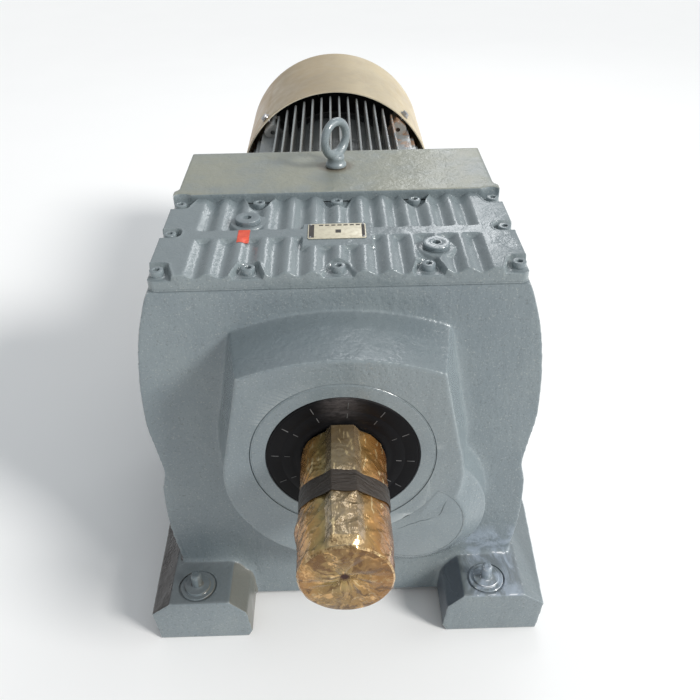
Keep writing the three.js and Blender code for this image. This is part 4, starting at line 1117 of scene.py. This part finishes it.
def side_plugs():
    x, z = DRAIN_PLUG
    face = REAR_WALL + GAP
    drain = [(0, REAR_WALL - 18), (10, REAR_WALL - 18), (10, face), (16, face), (16, REAR_WALL + 3.6),
             (15, REAR_WALL + 4.4), (0, REAR_WALL + 4.4)]
    body = lathe("drain_plug_turned", drain, x, z, 48)
    head = prism_y("tool", circle(11, x, z, 6), REAR_WALL + 3, REAR_WALL + 11.3)
    finish(boolean(body, [head], "UNION"), STEEL, replaces=["drain_plug"])
    level = [(0, -18), (10, -18), (10, 0.3), (16, 0.3), (16, 3.6), (15, 4.3), (0, 4.3)]
    body = lathe("oil_level_plug_turned", level, 0, 0, 48)
    boolean(body, [prism_y("tool", circle(11, 0, 0, 6), 3, 11.3)], "UNION")
    finish(along_x(body, LEVEL_PLUG, -1), STEEL, replaces=["oil_level_plug"])


side_plugs()


# ---------- bearing cover, seal and cap ----------
def bearing_cover():
    face, depth = BOSS_FACE, BOSS_FACE + RING_DEPTH - GAP
    step = face + SEAL_DEPTH + GAP
    profile = [
        (SEAL_R + GAP, face + 1.0), (SEAL_R + 1.1, face), (RING_R - 3.4, face), (RING_R - 2.6, face + 0.5),
        (RING_R - 1.8, face), (RING_R - 1.3, face + 0.1), (RING_R - 0.1, face + 1.5), (RING_R - 0.1, depth),
        (72, depth), (72, step), (SEAL_R + GAP, step),
    ]
    finish(lathe("output_bearing_cover_painted", profile, segments=192), ENAMEL_FINE,
           replaces=["output_bearing_cover"], smooth_angle=20)


bearing_cover()


def seal():
    face, back = BOSS_FACE - 1, BOSS_FACE + SEAL_DEPTH
    profile = [(r, face + step) for r, step in (
        (SEAL_INNER, 2), (SEAL_INNER + 2, 0.6), (SEAL_INNER + 7, 0.3), (SEAL_INNER + 8, 0.6), (70, 0.6),
        (71, 0.3), (84, 0.2), (84.6, 0.45), (85.4, 0.45), (86, 0.2), (102, 0), (102.6, 0.3), (103.4, 0.3),
        (104, 0), (105.2, 0.1), (SEAL_R, 1),
    )]
    profile += [(SEAL_R, back), (SEAL_INNER, back)]
    ring = lathe("output_seal_moulded", profile, segments=192)
    ticks = []
    for i in range(12):
        for r0, r1 in ((73, 80.5), (88.5, 98.5)):
            ticks.append(radial(box("tool", r0, r1, face - 0.25, face + 1.2, -0.5, 0.5), 30 * i - 5))
    finish(joined("output_seal_ticks", ticks), TICK)
    finish(ring, RUBBER, replaces=["output_seal"], smooth_angle=25)


seal()


def bearing_cap():
    cap = cap_body(CAP_R - 0.2, CAP_BITE_R, BOSS_FACE + 0.1, BOSS_FACE + CAP_DEPTH)
    cap.name = "intermediate_bearing_cap_painted"
    bevel(cap, 0.7, 2)
    boolean(cap, paint_cracks())
    finish(cap, ENAMEL_FINE, replaces=["intermediate_bearing_cap"])


bearing_cap()


# ---------- wrapped shaft end ----------
KEY_HALF, KEY_TOP, SHAFT_R = 14, 61.3, 55


def wrap_outline(clearance, count, taut):
    """Even steps round the wrapped shaft: a circle, with the key's ridge either tented over or followed."""
    r, top, half = SHAFT_R + clearance, KEY_TOP + clearance, KEY_HALF + 0.5 * clearance
    if taut:
        reach = math.hypot(half, top)
        start = math.pi / 2 - math.atan2(half, top) - math.acos(r / reach)
        shoulder = []
    else:
        start = math.pi / 2 - (half + 9) / r
        shoulder = [(half + 2.2, top - 2.6)]
    arc = [(r * math.cos(a), r * math.sin(a)) for a in np.linspace(start, -math.pi - start, 400)]
    left = [(-x, z) for x, z in shoulder]
    dense = np.array([(half, top), *shoulder, *arc, *left, (-half, top), (half, top)])
    length = np.concatenate([[0], np.cumsum(np.hypot(*np.diff(dense, axis=0).T))])
    at = np.linspace(0, length[-1], count, endpoint=False)
    outline = np.stack([np.interp(at, length, dense[:, 0]), np.interp(at, length, dense[:, 1])], 1)
    return outline, at, length[-1]


def facets(across, along, period, seed, spacing, stretch, turn):
    """Flat patches of crumpled film with sharp folds between them: 0 on a fold, up to 1 inside."""
    draw = np.random.default_rng(seed)
    count = int(period * 230 / spacing**2)
    points = np.stack([draw.uniform(0, period, count), draw.uniform(-15, 215, count)], 1)
    nearest = np.full(across.shape, 1e9)
    second = np.full(across.shape, 1e9)
    c, w = math.cos(turn), math.sin(turn)
    for ca, cl in points:
        da = (across - ca + period / 2) % period - period / 2
        dl = along - cl
        away = np.hypot((da * c + dl * w) / stretch, -da * w + dl * c)
        second = np.minimum(second, np.maximum(nearest, away))
        nearest = np.minimum(nearest, away)
    return np.clip((second - nearest) / (0.55 * spacing), 0, 1)


def tape_middle(angle):
    """Where the slanted band's middle lies along the shaft, for a way round it."""
    return 117 - 20 * np.sin(angle) + 1.5 * np.sin(3 * angle + 1)


def film_lift(across, along, period, outline, angle):
    """How far the film stands off the shaft: creased between folds, tight under the tape and on the key."""
    lift = 1.2 * (1 - facets(across, along, period, 3, 26, 2.6, 0.75)) ** 2
    lift += 0.6 * (1 - facets(across, along, period, 4, 15, 3.0, -0.6)) ** 2
    lift += 0.5 * np.sin(along / 11 + 2.2 * np.sin(across / 24)) * np.sin(across / 17)
    from_tape = along - tape_middle(angle)
    loose = 1 - np.exp(-(from_tape / 19) ** 4)
    ridge = np.exp(-((np.abs(outline[:, 0]) / 21) ** 6)) * (outline[:, 1] > 0)
    above = (from_tape > 0) * ridge
    lift = (lift - 0.4) * loose * (1 - 0.75 * above)
    flap = np.exp(-((along - 68) / 16) ** 2) * np.exp(-((angle - math.pi + 0.1) / 0.25) ** 2)
    return np.clip(lift, -1.0, 2.0) + 5.0 * flap


def gathered_rows(disc_outline, angle, count):
    """Rings of film drawn in over the shaft's end, twisted and pleated down to a small hole."""
    draw = np.random.default_rng(5)
    folds = np.sort(draw.uniform(-math.pi, math.pi, 13))
    apart = np.abs((angle[:, None] - folds[None, :] + math.pi) % (2 * math.pi) - math.pi)
    pleat = np.clip(np.min(apart, 1) / 0.26, 0, 1) - 0.5
    rows = []
    for i in range(1, count):
        share = i / (count - 1)
        shrink = 1 - share**0.92
        twist = 0.7 * share**2 + 0.05 * np.sin(3 * angle)
        c, w = np.cos(twist), np.sin(twist)
        x = disc_outline[:, 0] * shrink * c - disc_outline[:, 1] * shrink * w - 1.5 * share
        z = disc_outline[:, 0] * shrink * w + disc_outline[:, 1] * shrink * c + 4 * share
        crest = math.sin(math.pi * min(1.0, share**0.7))
        rise = 3.0 * max(0.0, share - 0.8) / 0.2
        depth = 0.6 - 3.0 * crest**0.5 - 2.4 * pleat * crest * (0.35 + share) + rise
        if i == count - 1:
            x, z, depth = 1.4 * np.cos(angle) - 1.5, 1.1 * np.sin(angle) + 4, np.full(len(angle), 1.1)
        rows.append(np.stack([x, np.clip(depth, -4.8, 1.1), z], 1))
    return rows


def shaft_film():
    around, lengthwise, gather = 420, 150, 40
    outline, s, period = wrap_outline(FILM_CLEARANCE, around, taut=False)
    angle = np.arctan2(outline[:, 1], outline[:, 0])
    disc_outline = (SHAFT_R + FILM_CLEARANCE) * np.stack([np.cos(angle), np.sin(angle)], 1)
    ys = np.linspace(place("shaft_film")[1].y, 1.5, lengthwise)
    across, along = np.meshgrid(s, ys)
    lift = film_lift(across, along, period, outline, angle)
    unit = outline / np.hypot(outline[:, 0], outline[:, 1])[:, None]
    rounding = np.clip((13 - ys) / 10, 0, 1)[:, None, None]
    wrapped = outline + (disc_outline - outline) * rounding
    wrapped += unit * lift[:, :, None]
    rows = [np.stack([ring[:, 0], np.full(around, y), ring[:, 1]], 1) for ring, y in zip(wrapped, ys)]
    rows += gathered_rows(disc_outline, angle, gather)
    vertices = np.vstack(rows)
    vertices[:, 2] += AXIS_Z
    end = range(len(vertices) - around, len(vertices))
    faces = grid_faces(len(rows), around, True) + [end]
    film = mesh_object("shaft_film_crinkled", vertices.tolist(), faces)
    outward(film)
    decimate(film, 0.2)
    thicken(film, 0.3, -1)
    finish(film, FILM, "output", ["shaft_film"], smooth_angle=24)


def tape_band():
    around, strips = 300, 13
    outline, s, _ = wrap_outline(TAPE_CLEARANCE, around, taut=True)
    angle = np.arctan2(outline[:, 1], outline[:, 0])
    mid = tape_middle(angle)
    half = 16.3 + 1.2 * np.cos(2 * angle + 2.4)
    unit = outline / np.hypot(outline[:, 0], outline[:, 1])[:, None]
    draw = np.random.default_rng(8)
    rows = []
    for i in range(strips):
        share = 2 * i / (strips - 1) - 1
        wander = 0.7 * np.sin(s / 13 + 5 * share) + 0.5 * np.sin(s / 5.1 + 9 * share)
        lift = 0.4 * abs(draw.uniform(-1, 1)) + 0.35 * (1 - share**2) + 0.15 * np.sin(s / 7 + 3 * i)
        x, z = (outline + unit * lift[:, None]).T
        rows.append(np.stack([x, mid + half * share + wander, z + AXIS_Z], 1))
    tape = mesh_object("tape_band_creased", np.vstack(rows).tolist(), grid_faces(strips, around, True))
    thicken(tape, 0.9, 1)
    outward(tape)
    finish(tape, TAPE, "output", ["tape_band"], smooth_angle=40)


shaft_film()
tape_band()


# ---------- motor ----------
def flange():
    face = REAR_WALL + GAP
    profile = [
        (42.3, face - 18), (70, face - 18), (70, face), (223, face), (225, face + 2), (225, face + 20),
        (223, face + 22), (214, face + 23), (198, face + 27), (183, MOTOR_FRONT - 4),
        (179, MOTOR_FRONT - GAP), (128, MOTOR_FRONT - GAP), (BEARING_POCKET_R + 14, face + 26),
        (BEARING_POCKET_R, MOTOR_FRONT + 2), (BEARING_POCKET_R, 751.7), (42.3, 751.7),
    ]
    finish(lathe("motor_flange_cast", profile, segments=128), ENAMEL, replaces=["motor_flange"])
    bolts = []
    for i in range(8):
        a = math.radians(22.5 + 45 * i)
        x, z = 205 * math.cos(a), AXIS_Z + 205 * math.sin(a)
        head = prism_y("tool", circle(12, x, z, 6, a), face + 24, face + 35)
        washer = disc(15, face + 20, face + 25, x, z, 32)
        bolts.append(bevel(boolean(head, [washer], "UNION"), 0.6, 2))
    finish(joined("motor_flange_bolts", bolts), ENAMEL_FINE)


flange()

FIN_PITCH, FIN_COUNT, FIN_REAR = 19.4, 14, 1146


def fin(x, turn):
    """One cooling fin with a tapered, rounded section, turned to its side of the motor."""
    tip = math.sqrt(FIN_TIP_R**2 - x**2)
    root = math.sqrt(MOTOR_R**2 - x**2) - 6
    side = [(3.4, root), (2.2, tip - 2), (1.6, tip - 0.6)]
    outline = [(-dx, z) for dx, z in side] + [(0, tip)] + side[::-1]
    c, s = math.cos(turn), math.sin(turn)
    points = [((x + dx) * c + z * s, AXIS_Z - (x + dx) * s + z * c) for dx, z in outline]
    return prism_y("tool", points, MOTOR_FRONT, FIN_REAR)


def motor_frame():
    tube = [(BORE_R, MOTOR_FRONT), (MOTOR_R, MOTOR_FRONT), (MOTOR_R, MOTOR_REAR), (BORE_R, MOTOR_REAR)]
    body = lathe("motor_frame_cast", tube, segments=128)
    parts = []
    for quarter in range(4):
        for i in range(FIN_COUNT):
            parts.append(fin((i - (FIN_COUNT - 1) / 2) * FIN_PITCH, quarter * math.pi / 2))
    for degrees in SCREW_ANGLES:
        for r0, r1, corner, y0, y1 in (
            (150, 212, 8, MOTOR_REAR - 18, MOTOR_REAR),
            (190, 212, 4, MOTOR_REAR - 10, SCREW_Y + 20),
            (150, 200, 10, MOTOR_FRONT, MOTOR_FRONT + 26),
        ):
            parts.append(radial(prism_y("tool", rounded(r0, r1, -16, 16, corner), y0, y1), degrees))
    parts.append(box("tool", 150, 208.7, 865, 995, 305, 410))
    boolean(body, parts, "UNION")
    tools = [disc(BORE_R, MOTOR_FRONT - 5, MOTOR_REAR + 5), disc(177, MOTOR_REAR, FIN_REAR + 4)]
    for degrees in SCREW_ANGLES:
        tools.append(radial(box("tool", 198, 230, SCREW_Y - 4, SCREW_Y + 4, -4, 4), degrees))
        tools.append(radial(disc(5, MOTOR_REAR - 24, MOTOR_REAR - 6, 198, 0, 24), degrees))
    boolean(body, tools)
    bevel(body, 0.7, 1, 40)
    finish(body, FIN_ENAMEL, replaces=["motor_frame"])


motor_frame()


def rear_shield():
    rear, pocket = MOTOR_REAR, BEARING_POCKET_R
    profile = [
        (33, rear + 8), (pocket, rear + 8), (pocket, 1102), (pocket + 14, 1102), (pocket + 18, rear + GAP),
        (175, rear + GAP), (175, rear + 14), (172, rear + 16), (120, rear + 17), (90, rear + 21),
        (33, rear + 22),
    ]
    finish(lathe("motor_rear_shield_cast", profile), IRON, replaces=["motor_rear_shield"])


rear_shield()


def cowl():
    """The sheet cowl: a cup with a rounded rear rim, a rolled front edge and rings of air slots."""
    inner, bend_r = COWL_R - COWL_WALL, 9
    turns = np.linspace(0.1, 1.47, 8)
    bends = [
        [(COWL_R - bend_r + r * math.cos(a), COWL_REAR - bend_r + r * math.sin(a)) for a in turns]
        for r in (bend_r, bend_r - COWL_WALL)
    ]
    profile = [
        (0, COWL_REAR), (150, COWL_REAR), *reversed(bends[0]), (COWL_R, COWL_REAR - 12),
        (COWL_R, COWL_FRONT + 2), (COWL_R + 0.5, COWL_FRONT + 0.8), (COWL_R - 0.3, COWL_FRONT - 0.3),
        (inner - 0.2, COWL_FRONT), (inner, COWL_FRONT + 2), (inner, COWL_REAR - 12), *bends[1],
        (150, COWL_REAR - COWL_WALL), (0, COWL_REAR - COWL_WALL),
    ]
    cup = lathe("fan_cowl_pressed", profile, segments=160)
    tools = []
    for ring, (radius, number) in enumerate(((60, 10), (84, 14), (108, 18), (132, 22), (156, 26))):
        for i in range(number):
            outline = rounded(radius - 8, radius + 8, -4.5, 4.5, 4.4, 4)
            slot = prism_y("tool", outline, COWL_REAR - 8, COWL_REAR + 5)
            tools.append(radial(slot, 360 * (i + 0.5 * (ring % 2)) / number))
    for degrees in SCREW_ANGLES:
        tools.append(radial(box("tool", 200, 230, SCREW_Y - 4.3, SCREW_Y + 4.3, -4.3, 4.3), degrees))
    boolean(cup, tools)
    finish(cup, TAN, replaces=["fan_cowl"])


cowl()


def cowl_screws():
    seat = COWL_R + 0.6
    for number in range(1, 5):
        name = f"cowl_screw_{number}"
        at = middle(name)
        head = prism_y(f"{name}_plated", circle(8.5, 0, 0, 6), 1.2, 7.5)
        bevel(head, 0.6, 2)
        washer = disc(10.5, 0, 1.6, 0, 0, 40)
        shank = disc(4, SHANK_R - seat, 1, 0, 0, 24)
        boolean(head, [washer, shank], "UNION")
        along_x(head, (seat, SCREW_Y, 0))
        degrees = math.degrees(math.atan2(at.z - AXIS_Z, at.x))
        finish(radial(head, degrees), STEEL, replaces=[name])


cowl_screws()


def fan():
    low, high = place("fan")
    front, rear = low.y, high.y
    hub = [
        (22.3, front), (40, front), (42, front + 2), (42, front + 12), (197, front + 13),
        (197, front + 17), (42, front + 18), (42, rear - 2), (40, rear), (22.3, rear),
    ]
    body = lathe("fan_moulded", hub)
    blade = [
        (38, front + 2), (178, front + 2), (188, front + 10),
        (188, rear - 12), (176, rear - 2), (38, rear - 2),
    ]
    blades = [radial(prism_z("tool", blade, -2.5, 2.5), 360 * i / 7) for i in range(7)]
    boolean(body, blades, "UNION")
    bevel(body, 0.8, 1, 40)
    finish(body, PLASTIC, "motor_rotor", ["fan"])


fan()


def terminal_box():
    low, high = place("terminal_box")
    shell = prism_x("terminal_box_cast", rounded(low.y, high.y, low.z, high.z, 10), low.x, high.x)
    inner = rounded(low.y + 7, high.y - 7, low.z + 7, high.z - 7, 6)
    room = prism_x("tool", inner, low.x + 8, high.x + 5)
    cable_way = hole(13, low.z - 5, low.z + 10, (low.x + high.x) / 2, (low.y + high.y) / 2)
    boolean(shell, [room, cable_way])
    bevel(shell, 1.2, 2)
    finish(shell, FIN_ENAMEL, replaces=["terminal_box"])


def terminal_box_lid():
    low, high = place("terminal_box_lid")
    rings = []
    steps = [
        (0, low.x), (0, low.x + 5), (1.5, low.x + 6.5), (9, low.x + 7), (10.5, high.x - 1.5), (12, high.x),
    ]
    for inset, x in steps:
        ring = rounded(low.y + inset, high.y - inset, low.z + inset, high.z - inset, 12 - inset * 0.4)
        rings.append([(x, y, z) for y, z in ring])
    finish(loft("terminal_box_lid_cast", rings), FIN_ENAMEL, replaces=["terminal_box_lid"])
    screws = []
    for y in (low.y + 7, high.y - 7):
        for z in (low.z + 7, high.z - 7):
            screw = lathe("tool", [(0, 0), (5, 0), (5, 3), (4, 4), (0, 4)], 0, 0, 24)
            boolean(screw, [box("tool", -6, 6, 3, 5, -0.6, 0.6)])
            screws.append(along_x(screw, (low.x + 5.5, y, z)))
    finish(joined("terminal_box_screws", screws), STEEL)


terminal_box()
terminal_box_lid()


def gland():
    at = middle("cable_gland")
    seat = place("terminal_box")[0].z - GAP
    barrel = [(8, seat - 28), (12, seat - 28), (14.5, seat - 26), (16, seat - 22), (16, seat - 12),
              (12.5, seat - 11), (12.5, seat + 12), (8, seat + 12)]
    body = lathe_z("cable_gland_moulded", barrel, at.x, at.y, 48)
    nut = prism_z("tool", circle(19, at.x, at.y, 6), seat - 12, seat)
    boolean(nut, [hole(9, seat - 20, seat + 5, at.x, at.y)])
    boolean(body, [nut], "UNION")
    bevel(body, 0.5, 1, 40)
    finish(body, PLASTIC, replaces=["cable_gland"])


gland()


# ---------- CAD nodes that stay ----------
def paint_nodes():
    shades = {"steel": STEEL, "gear_steel": GEAR_STEEL, "bearing_steel": BEARING_STEEL, "dark_iron": IRON,
              "black_rubber": RUBBER}
    slots = {part["node"]: part["material_slot"] for part in frame["record"]["subparts"]}
    for name, node in frame["nodes"].items():
        if not node.hide_render:
            node.data.materials.clear()
            node.data.materials.append(shades[slots[name]])


paint_nodes()


# ---------- floor and lights ----------
def sky():
    """A plain soft sky: brighter behind and above to the right, darker low and to the left."""
    world = bpy.data.worlds.new("studio")
    world.use_nodes = True
    nodes, links = world.node_tree.nodes, world.node_tree.links
    direction = nodes.new("ShaderNodeTexCoord").outputs["Generated"]
    toward = nodes.new("ShaderNodeVectorMath")
    toward.operation = "DOT_PRODUCT"
    toward.inputs[1].default_value = Vector((0.5, 0.25, 0.83))
    links.new(direction, toward.inputs[0])
    ramp = nodes.new("ShaderNodeMapRange")
    for name, value in (("From Min", -0.7), ("From Max", 1.0), ("To Min", 0.2), ("To Max", 0.72)):
        ramp.inputs[name].default_value = value
    links.new(toward.outputs["Value"], ramp.inputs["Value"])
    background = nodes["Background"]
    background.inputs["Color"].default_value = (0.93, 0.97, 1.0, 1)
    links.new(ramp.outputs["Result"], background.inputs["Strength"])
    bpy.context.scene.world = world


def lamp(name, kind, at, to, energy, color, **settings):
    data = bpy.data.lights.new(name, kind)
    data.energy = energy
    data.color = color
    for key, value in settings.items():
        setattr(data, key, value)
    light = linked(name, data)
    light.location = at
    light.rotation_euler = (Vector(to) - Vector(at)).to_track_quat("-Z", "Y").to_euler()


def panel_light(name, at, to, energy, color, size):
    lamp(name, "AREA", at, to, energy, color, shape="RECTANGLE", size=size[0], size_y=size[1])


def studio():
    half = FLOOR_HALF
    corners = [(-half, -half), (half, -half), (half, half), (-half, half)]
    floor = mesh_object("floor", [(x, y, -0.0005) for x, y in corners], [(0, 1, 2, 3)])
    s = Shader("floor_pale")
    s.set(color=s.mix(s.noise(3, 2), (0.9, 0.9, 0.9), (0.92, 0.92, 0.92)), roughness=0.9, specular=0.1)
    floor.data.materials.append(s.material)
    sky()
    lamp("key", "SUN", (3.0, -1.73, 2.45), (0, 0, 0.1), 2.6, (1.0, 0.98, 0.95), angle=math.radians(15))
    panel_light("rear", (0.62, 2.3, 1.9), (0.15, -0.2, 0.4), 5.5, (0.96, 0.98, 1.0), (0.4, 1.3))
    panel_light("high", (0.5, 1.1, 2.5), (0.15, -0.5, 0.3), 5, (0.96, 0.98, 1.0), (0.8, 0.25))
    panel_light("right", (1.9, -0.2, 1.3), (0.1, -0.1, 0.4), 5, (1.0, 0.99, 0.97), (0.5, 0.9))
    view = bpy.context.scene.view_settings
    view.view_transform = "Standard"
    view.look = "None"


studio()
